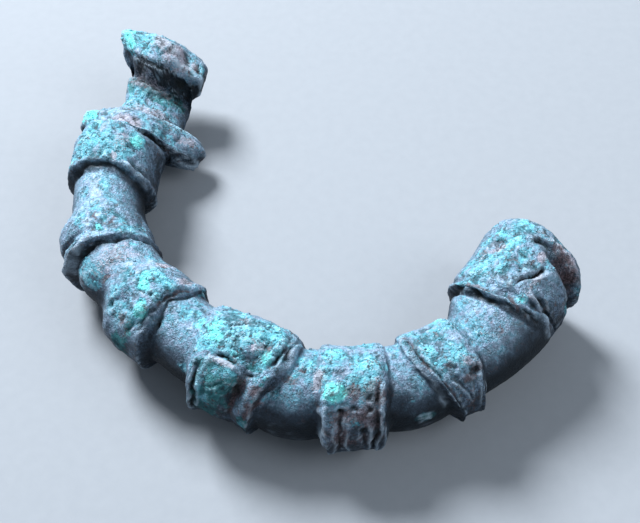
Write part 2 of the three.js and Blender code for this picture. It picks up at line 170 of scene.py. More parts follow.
# ---- fine relief -------------------------------------------------------------
# name, half width, height (a crack or groove is below zero), path of (station, bearing)
STRANDS = [
    ("cap_deep_crack", 0.16, -0.65,
     [(9.3, 6), (8.8, 8), (8.4, 8.5), (8.1, 12), (7.7, 15.5), (7.2, 18.5), (6.6, 20.5), (6.1, 19)]),
    ("cap_crack_branch", 0.18, -0.5, [(8.4, 8), (8.05, 3), (7.7, -2), (7.5, -7)]),
    ("cap_crack_lip", 0.26, 0.22, [(8.5, 15), (7.9, 19), (7.3, 23), (6.7, 26), (6.0, 26)]),
    ("cap_tongue_cleft", 0.22, -0.5, [(5.2, 0), (4.6, -1), (4.2, 3), (4.05, 9), (4.15, 16)]),
    ("cap_second_seam", 0.24, -0.45, [(10.7, -14), (10.45, -3), (10.2, 7), (10.3, 14), (10.8, 22)]),
    ("cap_seam", 0.18, -0.4, [(11.05, -80), (11.05, -40), (11.05, 0), (11.0, 30), (11.05, 56)]),
    ("cap_strap", 0.22, 0.38,
     [(9.1, 17), (9.3, 28), (9.6, 38), (10.0, 48), (10.5, 57), (11.0, 66), (11.15, 84)]),
    ("cap_strap_side", 0.28, -0.42, [(8.7, 26), (9.0, 38), (9.35, 48), (9.8, 57), (10.3, 66)]),
    ("cap_hollow_edge", 0.17, -0.36, [(6.2, -48), (6.05, -38), (6.2, -31), (6.6, -26)]),
    ("cap_wrinkle_1", 0.15, -0.34, [(6.6, -13), (6.8, -6), (6.75, 2), (6.6, 8)]),
    ("cap_wrinkle_2", 0.14, -0.3, [(7.5, -12), (7.2, -20), (7.6, -28), (8.3, -34)]),
    ("band_6_right_line", 0.12, -0.16, [(17.2, -34), (17.25, 0), (17.2, 25)]),
    ("band_6_right_groove", 0.15, -0.28, [(17.0, 40), (17.05, 55), (17.1, 72), (17.15, 96)]),
    ("band_6_right_thread", 0.13, 0.18, [(17.45, 44), (17.6, 56), (17.75, 70), (17.85, 92)]),
    ("band_6_thread", 0.12, 0.12, [(18.2, 42), (18.45, 56), (18.55, 74)]),
    ("band_6_fan_ridge", 0.13, 0.2, [(19.7, 32), (19.4, 46), (19.1, 60), (18.9, 76)]),
    ("band_6_fan_groove", 0.13, -0.25, [(19.4, 32), (19.1, 46), (18.8, 60), (18.55, 76)]),
    ("band_6_left_line", 0.18, -0.38,
     [(20.4, -44), (20.4, -10), (20.4, 15), (20.25, 32), (20.3, 50), (20.5, 76), (20.5, 104)]),
    ("band_6_left_rim", 0.15, 0.16, [(20.85, -44), (20.85, 0), (20.95, 30), (21.15, 52), (21.5, 82)]),
    ("band_5_thread_1", 0.12, 0.26, [(25.05, 44), (25.05, 65), (25.1, 90), (25.1, 114)]),
    ("band_5_groove_1", 0.16, -0.3, [(25.3, 22), (25.35, 45), (25.4, 70), (25.45, 114)]),
    ("band_5_thread_2", 0.12, 0.22, [(25.9, 54), (25.9, 70), (25.9, 112)]),
    ("band_5_groove_2", 0.15, -0.24, [(26.3, 68), (26.3, 90), (26.3, 112)]),
    ("band_5_thread_3", 0.12, 0.25, [(27.5, 56), (27.55, 75), (27.6, 112)]),
    ("band_5_groove_3", 0.15, -0.28, [(28.0, 48), (28.1, 62), (28.15, 80), (28.15, 112)]),
    ("band_5_thread_4", 0.12, 0.15, [(28.6, 58), (28.65, 80), (28.6, 110)]),
    ("band_5_left_rim", 0.15, 0.2, [(29.15, 42), (29.3, 58), (29.4, 76), (29.4, 104)]),
    ("band_5_crack_1", 0.16, -0.3, [(27.4, -12), (27.9, -7), (28.25, -4)]),
    ("band_5_crack_2", 0.18, -0.34,
     [(27.1, 2), (27.8, 5), (28.15, 4.5), (27.8, 9), (27.2, 13), (26.8, 17.5)]),
    ("band_5_spot_edge", 0.14, -0.3, [(27.75, 33), (28.0, 39), (28.6, 42.5)]),
    ("band_4_right_rim", 0.2, 0.16, [(33.05, -44), (33.15, -20), (33.3, 2), (33.2, 20)]),
    ("band_4_right_line", 0.18, -0.34, [(33.35, -46), (33.55, -22), (33.65, -6), (33.6, 7)]),
    ("band_4_lump_edge", 0.18, -0.45, [(33.85, -44), (33.95, -20), (34.15, -4), (34.3, 9), (34.5, 20)]),
    ("band_4_cleft", 0.15, -0.55,
     [(36.3, 24.5), (36.8, 21.5), (37.4, 19.2), (38.0, 18), (38.6, 19.4), (39.2, 23)]),
    ("band_4_cleft_end", 0.14, -0.25, [(34.3, 21), (34.7, 25), (35.3, 27.5), (35.8, 27), (36.3, 24.5)]),
    ("band_4_ring_1", 0.13, -0.24, [(38.9, 8), (39.1, -6), (38.7, -18), (37.8, -27), (36.7, -30)]),
    ("band_4_ring_2", 0.12, -0.22, [(35.4, -26), (35.2, -12), (35.4, 2), (36.0, 10)]),
    ("band_4_crack", 0.16, -0.32, [(37.2, -26), (38.0, -22), (38.5, -19), (39.3, -14)]),
    ("band_4_wrinkle_1", 0.14, -0.22, [(36.2, -12), (36.4, -3), (36.2, 6), (36.6, 12)]),
    ("band_4_wrinkle_2", 0.14, -0.2, [(37.6, -8), (37.9, 0), (37.7, 8)]),
    ("band_4_trench", 0.25, -0.25, [(35.9, 33), (35.8, 44), (35.6, 55), (35.8, 66)]),
    ("band_4_lower_lip", 0.2, 0.22,
     [(36.6, 30), (37.2, 26), (38.0, 24), (38.8, 26.5), (39.3, 32), (39.4, 45), (39.4, 70), (39.3, 94)]),
    ("band_4_lower_wrinkle", 0.15, -0.25, [(36.8, 38), (37.3, 46), (38.0, 52), (38.9, 56)]),
    ("band_4_flange_groove", 0.17, -0.45,
     [(39.8, 32), (39.9, 50), (39.85, 68), (39.75, 86), (39.6, 106)]),
    ("band_4_flange_thread", 0.12, 0.16, [(40.15, 40), (40.2, 60), (40.15, 90)]),
    ("band_4_flange_line", 0.13, -0.22, [(40.4, 34), (40.5, 60), (40.45, 90)]),
    ("band_4_left_hollow", 0.24, -0.4, [(40.9, -22), (41.5, -28), (42.4, -32), (43.0, -30)]),
    ("bar_crack", 0.14, -0.3, [(41.7, -18), (42.0, -13), (42.35, -8)]),
    ("band_3_line_1", 0.15, -0.36, [(45.35, -45), (45.3, -20), (45.45, 0), (45.3, 20), (45.35, 46)]),
    ("band_3_line_2", 0.14, -0.32,
     [(45.85, -24), (45.85, -5), (45.9, 6), (46.0, 20), (46.2, 40), (46.4, 58)]),
    ("band_3_wrinkle_1", 0.16, -0.3, [(46.4, 40), (46.9, 50), (47.2, 64)]),
    ("band_3_wrinkle_2", 0.16, -0.3, [(47.2, 42), (47.8, 50), (48.1, 62)]),
    ("band_3_hollow", 0.34, -0.7, [(49.45, 41), (49.6, 48), (49.8, 57), (50.0, 66)]),
    ("band_2_line", 0.16, -0.36,
     [(54.3, -64), (54.3, -30), (54.35, 0), (54.3, 30), (54.3, 60), (54.3, 96)]),
    ("band_2_thread", 0.17, 0.22, [(54.85, 34), (54.65, 48), (54.6, 70), (54.6, 94)]),
    ("band_2_second_line", 0.22, -0.48, [(55.5, 38), (55.15, 50), (55.1, 68), (55.1, 96)]),
    ("band_2_crack", 0.15, -0.28, [(56.8, 9), (57.0, 2), (57.3, -6)]),
    ("band_1_line", 0.2, -0.36, [(64.05, -62), (64.05, -30), (64.0, 0), (64.05, 30), (64.05, 60)]),
    ("band_1_ridge", 0.26, 0.32, [(64.3, -74), (64.5, -48), (64.8, -30), (65.2, -13)]),
    ("band_1_second_line", 0.3, -0.5, [(64.9, -66), (65.3, -46), (65.7, -28)]),
    ("foot_cleft", 0.34, -0.65, [(69.95, -18), (70.1, -34), (70.05, -50), (69.9, -66)]),
    ("neck_groove", 0.4, -0.35, [(77.5, -70), (77.4, -30), (77.4, 0), (77.6, 30), (77.6, 60)]),
    ("tip_cleft", 0.2, -0.22, [(79.4, 6), (80.0, 2), (80.6, -4), (81.6, -11)]),
]

# name, station, bearing, half length, half spread in degrees, how far an edge moves to the cap
EDGE_SHIFTS = [
    ("band_4_strip", 33.5, 50, 1.1, 26, -0.65),
    ("tip_right_lobe", 79.0, -35, 1.0, 30, -0.8),
    ("tip_left_arm", 78.8, 84, 1.2, 40, -0.9),
]

# name, station, bearing, half length, half width round the bar, height
KNOBS = [
    ("disc_knob", 71.7, 70, 0.6, 0.6, 0.45),
    ("arm_belly", 70.75, -102, 0.6, 2.0, 0.75),
    ("neck_left", 77.0, 82, 1.1, 1.2, 0.45),
    ("neck_shoulder", 77.4, 58, 0.8, 1.0, 0.6),
    ("tip_right_wall", 78.8, -58, 0.6, 1.6, -0.55),
    ("tip_right_notch", 80.9, -52, 0.9, 0.35, -0.25),
    ("bar_3_2_shoulder", 53.0, 72, 1.4, 2.8, 0.95),
    ("tip_front_hollow", 78.6, -25, 0.5, 2.2, -0.35),
    ("tip_lobe", 80.7, -22, 0.9, 1.0, 0.35),
    ("tip_saddle", 80.6, -10, 0.8, 0.45, 0.2),
    ("tip_left_notch", 80.8, 33, 1.2, 0.5, -0.25),
    ("tip_knob", 80.8, 64, 1.1, 0.9, 0.25),
    ("cap_left_lump", 6.6, -14, 1.3, 0.9, 0.16),
    ("cap_tongue", 4.6, -9, 0.5, 1.0, 0.3),
    ("cap_hollow", 6.7, -37, 0.6, 0.7, -0.5),
    ("cap_right_lump", 7.2, 4, 0.9, 0.7, 0.2),
    ("cap_low_lump", 9.0, -3, 0.7, 1.1, 0.2),
    ("band_5_spot", 28.4, 30, 0.55, 0.6, 0.22),
    ("band_3_knob", 46.8, 30, 0.5, 0.55, 0.25),
    ("band_2_spot", 56.1, 12.5, 0.4, 0.35, 0.15),
    ("bar_spot", 22.5, 84, 0.4, 0.4, 0.12),
    ("band_1_spot", 67.9, -36, 0.6, 0.6, 0.15),
]

# name, half width, path of (station, bearing)
RUST_LINES = [
    ("cap_groove_edge", 0.3, [(4.0, 14), (3.9, 30), (4.0, 46), (4.3, 62)]),
    ("cap_seam_rust", 0.22, [(10.5, -34), (10.6, -12), (10.3, 2), (10.25, 13), (10.9, 26)]),
    ("bar_rust_line", 0.17, [(13.0, -11), (13.7, -15), (14.3, -20), (15.3, -25)]),
    ("bar_rust_ring", 0.15, [(13.1, 7), (13.8, 8), (14.2, 15), (13.9, 22), (13.3, 24), (13.0, 18)]),
    ("band_6_left_rust", 0.17, [(20.4, -40), (20.4, -8), (20.35, 20), (20.25, 45), (20.4, 70)]),
    ("band_5_right_rust", 0.2, [(25.2, 20), (25.3, 45), (25.3, 80)]),
    ("band_5_left_rust", 0.16, [(28.1, 46), (28.2, 62), (28.2, 90)]),
    ("bar_rust_spots", 0.15, [(31.0, -4), (31.1, 3), (32.2, 1), (32.3, -6)]),
    ("band_4_strip_rust", 0.25, [(34.2, 38), (33.8, 50), (33.8, 64), (34.1, 80)]),
    ("band_4_trench_rust", 0.35, [(35.6, 40), (35.7, 54), (35.9, 68)]),
    ("band_3_right_rust", 0.16, [(45.6, -34), (45.9, -24), (45.8, -8), (45.9, 12)]),
    ("band_2_rust", 0.16, [(56.3, -1), (56.8, -6), (57.3, -13)]),
    ("band_2_rust_fleck", 0.14, [(57.3, 12), (58.0, 16), (58.5, 12)]),
]

# name, station, bearing, radius, depth
PITS = [
    ("band_6_hollow", 17.5, 38, 0.34, 0.45),
    ("band_6_pit_1", 19.25, 37, 0.22, 0.34),
    ("band_6_pit_2", 18.9, 23, 0.18, 0.2),
    ("band_5_pit_1", 26.05, 49, 0.25, 0.45),
    ("band_5_pit_2", 25.95, 35, 0.22, 0.34),
    ("band_5_pit_3", 27.95, 48.5, 0.25, 0.36),
    ("band_5_pit_4", 26.35, 71, 0.32, 0.42),
    ("band_5_pit_5", 27.0, 46, 0.22, 0.26),
    ("band_5_pit_6", 25.2, 11, 0.2, 0.24),
    ("band_4_pit", 36.1, 24, 0.25, 0.15),
    ("band_3_pit_1", 47.0, 9.5, 0.2, 0.3),
    ("band_3_pit_2", 47.9, 56, 0.3, 0.3),
    ("band_1_hollow", 65.1, 5, 0.4, 0.35),
    ("bar_pit_1", 22.45, 33, 0.24, 0.14),
    ("bar_pit_2", 31.05, -1, 0.22, 0.16),
    ("bar_pit_3", 13.9, 13, 0.2, 0.14),
    ("bar_pit_4", 32.2, 3, 0.2, 0.14),
]

# for each finish, and for the dark patches of painted shade: station, bearing, half length, half width
# round the bar, strength
PATCHES = {
    "crust": [
        # cap
        (4.9, -37, 1.1, 1.2, 1.2), (3.7, -24, 1.0, 1.3, 0.9), (5.6, -20, 1.4, 0.8, 1.0),
        (8.4, -15, 0.7, 0.6, 1.0), (6.4, -3, 1.2, 0.7, 0.7), (8.6, -34, 1.2, 1.0, 0.55),
        (7.0, 14, 0.9, 0.4, 0.6), (9.6, 4, 0.5, 0.5, 0.5), (10.1, 23, 0.4, 0.34, 1.3),
        (5.5, 78, 0.4, 0.5, 0.8), (3.3, 82, 0.5, 0.9, 0.5), (8.2, -54, 1.5, 1.1, 0.75),
        (5.9, -56, 1.0, 1.2, 0.9),
        # bar by the cap
        (13.4, -36, 2.0, 1.2, 0.5),
        # band_6
        (18.2, -21, 0.8, 0.8, 0.7), (19.5, -3, 0.5, 0.5, 0.9), (17.5, -38, 0.8, 0.8, 0.6),
        (18.3, 19, 0.4, 0.5, 0.7), (19.8, 13, 0.4, 0.25, 0.8),
        # bar by band_6
        (22.4, -24, 1.3, 1.4, 0.5), (22.5, 84, 0.45, 0.42, 1.4), (22.9, 51, 0.3, 0.26, 0.6),
        # band_5
        (26.0, -8, 0.8, 0.8, 1.0), (24.9, 4, 0.5, 0.7, 0.7), (28.3, -20, 0.9, 1.2, 1.0),
        (28.4, 30, 0.7, 0.76, 2.6), (26.8, 62, 0.35, 0.4, 0.6),
        # bar by band_5
        (30.6, -8, 0.8, 1.1, 0.9), (32.3, -17, 0.6, 0.6, 1.0), (31.9, 10, 0.4, 0.3, 0.9),
        # band_4
        (35.2, -28, 1.1, 1.7, 1.0), (34.9, 2, 0.5, 1.0, 1.3), (36.6, -12, 1.4, 1.5, 1.0),
        (38.0, 0, 1.2, 1.4, 1.0), (39.7, 3, 1.0, 1.2, 1.7), (38.6, -34, 1.2, 1.2, 0.8),
        (37.1, 11, 0.9, 0.6, 1.2), (36.9, 31, 0.5, 0.25, 0.9), (39.3, 50, 0.25, 1.6, 0.7),
        (38.3, 70, 0.5, 0.5, 0.6), (34.1, 24, 0.16, 0.18, 1.4), (34.1, 33, 0.2, 0.18, 1.3),
        (33.9, 53, 0.25, 0.24, 1.3), (34.1, 92, 0.3, 0.4, 0.8),
        # bar by band_4
        (41.5, -5, 0.6, 0.9, 1.2), (42.4, -20, 0.7, 0.6, 1.0), (43.8, -12, 1.2, 1.3, 0.7),
        (41.9, 60, 0.4, 0.6, 0.5),
        # band_3
        (46.5, 4, 0.45, 0.45, 1.2), (48.0, 6, 0.6, 0.45, 1.5), (48.8, -3, 0.7, 0.6, 1.3),
        (47.6, -12, 1.1, 0.9, 1.0), (50.4, 8, 0.7, 0.6, 1.0), (46.8, 31, 0.5, 0.6, 2.0),
        (45.3, -60, 0.4, 0.6, 1.0),
        # bar by band_3
        (52.6, 58, 1.2, 1.4, 0.7), (53.4, -24, 0.5, 0.4, 0.8),
        # band_2
        (56.1, 12.5, 0.46, 0.36, 1.8), (57.3, 4, 0.4, 0.3, 1.1), (58.2, 30, 0.8, 0.6, 0.8),
        (55.3, -13, 0.4, 0.4, 0.7), (56.6, -50, 1.2, 0.9, 0.5),
        # bar by band_2
        (61.9, -3, 0.5, 0.5, 1.0), (61.4, 28, 0.5, 0.5, 0.6),
        # band_1
        (67.9, -36, 0.65, 0.7, 1.6), (67.0, 18, 1.0, 0.9, 1.0), (68.3, 27, 0.9, 0.8, 1.0),
        (66.4, 38, 0.5, 0.8, 0.9),
        # foot, arms
        (71.9, 66, 0.7, 0.8, 2.6), (71.4, -28, 0.6, 0.8, 0.7),
        # foot, neck
        (75.0, -20, 0.8, 1.6, 0.5),
        # foot, tip
        (80.9, 50, 1.3, 1.0, 1.5), (80.3, 25, 1.0, 0.9, 1.0), (81.0, -60, 0.7, 0.7, 0.7),
    ],
    "teal": [
        # band_5
        (26.8, 17, 0.35, 0.3, 1.0),
        # band_4
        (35.5, 17, 0.8, 0.3, 1.1), (34.8, 9, 0.3, 0.7, 0.8), (38.0, 42, 1.5, 1.1, 1.3),
        (37.7, 60, 1.4, 1.3, 1.1), (38.3, 84, 1.3, 1.6, 1.1), (34.0, 90, 0.5, 0.8, 1.0),
        # band_3
        (47.1, 50, 0.35, 0.8, 1.1), (46.4, 8, 0.4, 0.4, 0.7), (47.7, 82, 0.6, 1.1, 0.9),
        # foot, neck
        (76.9, 0, 0.7, 3.0, 1.3),
    ],
    "rust": [
        # cap
        (7.4, -50, 0.5, 0.5, 0.6), (5.4, -44, 0.4, 0.4, 0.6), (3.5, 17, 0.5, 0.25, 0.7),
        (4.6, 40, 0.6, 1.9, 0.85),
        # band_6
        (18.9, 22, 0.3, 0.3, 0.7), (17.2, 34, 0.4, 0.3, 0.9), (18.2, 43, 0.5, 0.3, 0.7),
        # band_5
        (25.6, 33, 0.7, 1.0, 1.0), (25.9, 57, 0.8, 1.3, 1.0), (27.0, 29, 0.5, 0.7, 0.8),
        (28.0, 52, 0.6, 0.6, 0.9), (28.1, 76, 0.8, 1.3, 0.7), (26.0, 82, 0.9, 0.9, 0.7),
        # bar by band_5
        (32.1, 18, 0.6, 0.3, 0.6),
        # band_4
        (35.7, 55, 0.4, 1.5, 0.9), (34.3, 42, 0.5, 0.6, 0.8), (33.9, 62, 0.6, 0.5, 0.8),
        # band_3
        (47.9, 54, 0.4, 0.4, 0.8),
        # bar by band_3
        (51.5, 42, 0.15, 0.5, 1.0),
        # band_2
        (58.4, -7, 0.5, 0.25, 0.7),
        # foot, arms
        (71.8, -88, 0.6, 0.5, 0.8),
        # foot, neck
        (75.6, -52, 0.5, 0.5, 0.7), (77.2, 80, 0.9, 0.6, 0.7),
        # foot, tip
        (80.9, -50, 0.6, 0.25, 0.8),
    ],
    "pale": [
        # cap
        (5.8, 12, 0.5, 0.45, 1.1), (3.6, 24, 0.3, 1.6, 0.7), (7.6, 21, 0.9, 0.28, 0.9),
        (6.7, -35, 0.5, 0.8, 0.8), (7.5, -46, 0.9, 0.5, 0.5), (9.3, 30, 0.3, 0.8, 0.5),
        # band_6
        (17.7, 24, 0.35, 0.5, 0.6),
        # band_5
        (29.6, 12, 0.5, 0.9, 1.0), (25.3, 16, 0.25, 0.2, 0.8),
        # band_4
        (36.2, -2, 0.4, 0.5, 0.7), (35.6, -7, 0.3, 0.4, 0.6), (37.9, -31, 0.4, 0.3, 0.6),
        (38.0, 25, 1.0, 0.2, 1.0),
        # band_3
        (49.5, -36, 0.5, 0.9, 1.4), (46.8, -38, 0.4, 0.9, 0.8),
        # bar by band_3
        (52.6, 8, 1.2, 1.9, 0.5),
        # band_1
        (65.1, -13, 0.5, 0.3, 1.1), (67.4, -15, 1.0, 1.0, 0.5),
        # foot, arms
        (71.3, 8, 0.6, 0.8, 1.0), (72.2, -50, 0.6, 1.1, 0.7),
        # foot, neck
        (77.7, 28, 0.6, 1.5, 0.6), (74.3, -5, 0.7, 1.6, 0.6),
        # foot, tip
        (81.4, 5, 0.7, 0.6, 1.2), (80.3, -26, 1.3, 1.3, 1.0),
    ],
    # dark: painted shade on the walls of the foot's arms and tip
    "dark": [
        # foot, arms
        (70.0, -48, 0.35, 2.0, 0.9),
        # foot, tip
        (78.5, -40, 0.55, 2.6, 1.0), (78.4, 20, 0.4, 2.0, 0.8), (78.5, -80, 0.7, 1.5, 0.9),
        (79.6, -80, 1.0, 1.2, 1.0),
    ],
}

# ---- helpers -----------------------------------------------------------------


def smooth(start, end, value):
    """0 before start, 1 after end, eased between."""
    t = np.clip((value - start) / (end - start), 0, 1)
    return t * t * (3 - 2 * t)


def wrap(turn):
    """The same turn between minus half a turn and half a turn."""
    return np.arctan2(np.sin(turn), np.cos(turn))


def across(angle, bearing, girth):
    """Distance round the bar from a bearing."""
    return wrap(angle - math.radians(bearing)) * girth


def hump(value, middle, half):
    """A bell of height 1 round a middle value."""
    return np.exp(-(((value - middle) / half) ** 2))


def mix(a, b, t):
    return a + (b - a) * t


def along(table, column, station, ease=False):
    """Value of a column of a table at each station, eased between its rows where asked."""
    at = np.array([row[0] for row in table], float)
    value = np.array([row[column] for row in table], float)
    if not ease:
        return np.interp(station, at, value)
    row = np.clip(np.searchsorted(at, station) - 1, 0, len(at) - 2)
    t = smooth(0, 1, (station - at[row]) / (at[row + 1] - at[row]))
    return mix(value[row], value[row + 1], t)


STIR_X, STIR_Y, STIR_Z, STIR_SEED = 374761393, 668265263, 1442695041, 974634777
STIR_AGAIN = 1274126177
LOW_32_BITS, LOW_24_BITS = 0xFFFFFFFF, 0xFFFFFF


def scatter(x, y, z, seed):
    """A steady number from 0 to 1 for each whole-number place."""
    mixed = (x * STIR_X + y * STIR_Y + z * STIR_Z + seed * STIR_SEED) & LOW_32_BITS
    mixed = ((mixed ^ (mixed >> 13)) * STIR_AGAIN) & LOW_32_BITS
    return ((mixed ^ (mixed >> 16)) & LOW_24_BITS) / float(LOW_24_BITS)


def noise(points, size, seed):
    """Smooth noise from -1 to 1 with features of a given size."""
    scaled = points / size
    cell = np.floor(scaled).astype(np.int64)
    part = scaled - cell
    part = part**3 * (part * (part * 6 - 15) + 10)
    total = 0
    for corner in range(8):
        steps = corner & 1, (corner >> 1) & 1, corner >> 2
        weight = 1
        for axis, step in enumerate(steps):
            weight = weight * (part[..., axis] if step else 1 - part[..., axis])
        x, y, z = (cell[..., axis] + steps[axis] for axis in range(3))
        total = total + weight * scatter(x, y, z, seed)
    return total * 2 - 1


def layered(points, size, seed, layers, fade):
    """Noise with finer and fainter noise on top, about -1 to 1."""
    total = 0
    strength = 1.0
    for layer in range(layers):
        total = total + strength * noise(points, size / 2**layer, seed + 17 * layer)
        strength *= fade
    return total / (2 - fade)


def pebbles(points, size, seed):
    """Distance to the nearest and to the second nearest of scattered grains, in sizes."""
    scaled = points / size
    cell = np.floor(scaled).astype(np.int64)
    first = np.full(points.shape[:-1], 9.0)
    second = first.copy()
    for step in range(27):
        near = cell + np.array([step % 3 - 1, step // 3 % 3 - 1, step // 9 - 1])
        x, y, z = near[..., 0], near[..., 1], near[..., 2]
        grain = np.stack([scatter(x, y, z, seed + k) for k in range(3)], -1) + near
        distance = np.linalg.norm(grain - scaled, axis=-1)
        second = np.minimum(second, np.maximum(first, distance))
        first = np.minimum(first, distance)
    return first, second


# ---- form of the casting -----------------------------------------------------
ARC_LENGTH = math.radians(BOW_START - BOW_END) * BOW_RADIUS


def axis_at(station):
    """Points on the bow's axis, from its centre, and the outward directions there."""
    bearing = math.radians(BOW_START) - np.minimum(station, ARC_LENGTH) / BOW_RADIUS
    out_x, out_y = np.cos(bearing), np.sin(bearing)
    past = np.maximum(station - ARC_LENGTH, 0)
    inward = SWAY_DEPTH * hump(station, SWAY_AT, SWAY_SPAN)
    inward = inward + FOOT_JOG * smooth(0, FOOT_JOG_RUN, past)
    x = out_x * (BOW_RADIUS - inward) + out_y * past
    y = out_y * (BOW_RADIUS - inward) - out_x * past
    return x, y, out_x, out_y


def band_height(station, angle):
    """How far the mouldings and their rims stand proud of the bar."""
    side = 0.5 + 0.5 * np.sin(angle - math.radians(LOW_SIDE))
    crusted = smooth(0.2, 0.9, np.cos(angle - math.radians(CRUSTED_SIDE)))
    soften = CRUST_SOFTENING * crusted
    height = 0
    for _, start, end, run, soft, thin, thick, rim in BANDS:
        up = smooth(start - run - soften, start + run + soften, station)
        down = smooth(end - soft - soften, end + soft + soften, station)
        rims = hump(station, start + RIM_INSET, RIM_WIDTH)
        if soft <= SOFT_SHOULDER:
            rims = rims + hump(station, end - RIM_INSET, RIM_WIDTH)
        height = height + mix(thin, thick, side) * up * (1 - down)
        height = height + rim * rims * (1 - soften)
    return height


def lump_height(lumps, station, angle, girth):
    """Rounded lumps and hollows from a table of them."""
    height = 0
    for _, at, bearing, length, width, tall in lumps:
        turn = across(angle, bearing, girth)
        height = height + tall * hump(station, at, length) * hump(turn, 0, width)
    return height


def cap_section(station, angle):
    """The cap's drum and end disc, with a groove between them that is open on one side."""
    turned = wrap(angle - math.radians(CAP_GROOVE_BEARING))
    reach = math.radians(CAP_GROOVE_REACH)
    open_side = 1 - smooth(reach * CAP_GROOVE_FULL, reach, np.abs(turned))
    behind = CAP_END + DISC_LENGTH
    drum = mix(1, smooth(behind, CAP_DRUM_FROM + CAP_DRUM_SOFT, station), open_side)
    middle = (behind + CAP_DRUM_FROM) / 2 - CAP_GROOVE_SET
    dip = CAP_GROOVE_DEPTH * open_side * hump(station, middle, CAP_GROOVE_WIDTH)
    edge = END_EDGE_DROP * hump(station, CAP_END, END_EDGE_WIDTH)
    ring = CAP_RING_DEPTH * hump(station, CAP_FOOT - CAP_RING_BACK, CAP_RING_WIDTH)
    taper = CAP_TAPER * (0.5 - 0.5 * np.sin(angle)) * smooth(CAP_TAPER_FROM, CAP_FOOT, station)
    radius = mix(DISC_RADIUS, CAP_RADIUS, drum) - dip - edge - ring - taper
    inward = mix(DISC_INWARD, CAP_INWARD, drum)
    return radius * np.sin(angle) - inward, radius * np.cos(angle) + CAP_UP


def foot_section(station, angle):
    """The cross-armed foot: high in the middle, thin in its arms, lifted and rolled."""
    columns = (along(FOOT, column, station, True) for column in range(1, 7))
    inside, outside, middle, arm, lift, roll = columns
    roll = np.radians(roll)
    side = np.where(np.sin(angle) > 0, outside, inside) * np.sin(angle)
    rise = np.cos(angle) * mix(arm, middle, np.exp(-((side / FOOT_MIDDLE) ** 4)))
    out = side * np.cos(roll) - rise * np.sin(roll)
    up = side * np.sin(roll) + rise * np.cos(roll) + lift
    return out, up


def section_at(station, angle):
    """Offsets of the surface from the axis, outwards and upwards."""
    in_cap = 1 - smooth(CAP_FOOT - CAP_BLEND, CAP_FOOT + CAP_BLEND, station)
    in_foot = smooth(FOOT[0][0], FOOT[1][0], station)
    swell = NECK_SWELL * (1 - smooth(CAP_FOOT, NECK_END, station))
    out = (BAR_RADIUS + swell) * np.sin(angle) - swell
    up = (BAR_RADIUS + NECK_TALL * swell) * np.cos(angle)
    cap_out, cap_up = cap_section(station, angle)
    out, up = mix(out, cap_out, in_cap), mix(up, cap_up, in_cap)
    foot_out, foot_up = foot_section(station, angle)
    out = np.where(in_foot > 0, foot_out, out)
    up = np.where(in_foot > 0, foot_up, up)
    size = np.hypot(out, up)
    proud = band_height(station, angle) * (1 - in_foot) + lump_height(LUMPS, station, angle, size)
    return out * (1 + proud / size), up * (1 + proud / size)


def lean_at(station, angle):
    """How far the section is carried towards the foot, at each place round the bar."""
    sine = np.sin(angle)
    top = along(LEANS, 1, station)
    side = np.where(sine > 0, along(LEANS, 2, station), along(LEANS, 3, station))
    return -(top * np.cos(angle) + side * sine)


# ---- grid of the fine mesh ---------------------------------------------------
AROUND = 144  # columns round the bar
ROWS = 634  # rows along it
CAP_RINGS = 26  # rings on the cap's end face
FOOT_RINGS = 16
KEY_LIT_WEATHERED_SIDE = np.array([-0.17, 0.27, 0.948])  # the way the most weathered side faces, tilted towards the key light: the side facing it gets a painted sheen, the side away from it painted shade
STRAND_FADE = 0.9  # run over which a crack or ridge fades out
TOP_CLOSER = 0.22  # share by which the columns crowd towards the top
STEEP_PLACES = (3.4, 10.9, 16.5, 21.0, 24.4, 29.6, 33.0, 41.2, 45.5, 54.4, 64.2, 70.4, 78.0)
BAND_CLOSER = 0.7  # share by which the rows crowd on the mouldings
STEEP_CLOSER, STEEP_RUN = 2.2, 0.45  # and how much more where a wall is steep
STATION_STEPS = 4001
FACE_RUN = 0.5  # run over which the slope of the end face fades out


def row_stations():
    """Rows crowd where the mouldings are."""
    fine = np.linspace(CAP_END, FOOT_TIP, STATION_STEPS)
    crowd = 1 - smooth(CAP_FOOT, CAP_FOOT + 1, fine)
    for _, start, end, *_ in BANDS:
        inside = smooth(start - 1, start - 0.4, fine) * (1 - smooth(end + 0.3, end + 1, fine))
        crowd = np.maximum(crowd, inside)
    for edge in STEEP_PLACES:
        crowd += STEEP_CLOSER * hump(fine, edge, STEEP_RUN)
    weight = np.concatenate([[0], np.cumsum(1 + BAND_CLOSER * crowd[1:])])
    return np.interp(np.linspace(0, weight[-1], ROWS), weight, fine)


def grid():
    """Station, fill (0 at the axis, 1 on the surface) and angle of every grid point."""
    stations = row_stations()
    cap_fill = np.arange(1, CAP_RINGS + 1) / (CAP_RINGS + 1)
    foot_fill = np.arange(FOOT_RINGS, 0, -1) / (FOOT_RINGS + 1)
    cap_face, foot_face = np.full(CAP_RINGS, CAP_END), np.full(FOOT_RINGS, FOOT_TIP)
    station = np.concatenate([cap_face, stations, foot_face])
    fill = np.concatenate([cap_fill, np.ones(ROWS), foot_fill])
    turn = np.arange(AROUND) / AROUND * 2 * math.pi
    angle = turn - TOP_CLOSER * np.sin(turn)
    return np.meshgrid(station, angle, indexing="ij") + [np.repeat(fill[:, None], AROUND, 1)]


def place(station, angle, fill, wander=0):
    """Points of the casting, from the bow's centre, with its mouldings' edges moved by wander."""
    out, up = section_at(station + wander, angle)
    out, up = out * fill, up * fill
    on_face = 1 - smooth(CAP_END, CAP_END + FACE_RUN, station)
    lean = lean_at(station, angle) * fill * (1 - on_face)
    slope = (CAP_END_SLEW * out - CAP_END_DROP * up) * on_face
    x, y, out_x, out_y = axis_at(station + lean)
    x = x + out_x * out + out_y * slope
    y = y + out_y * out - out_x * slope
    return np.stack([x, y, BAR_HEIGHT + up], -1)


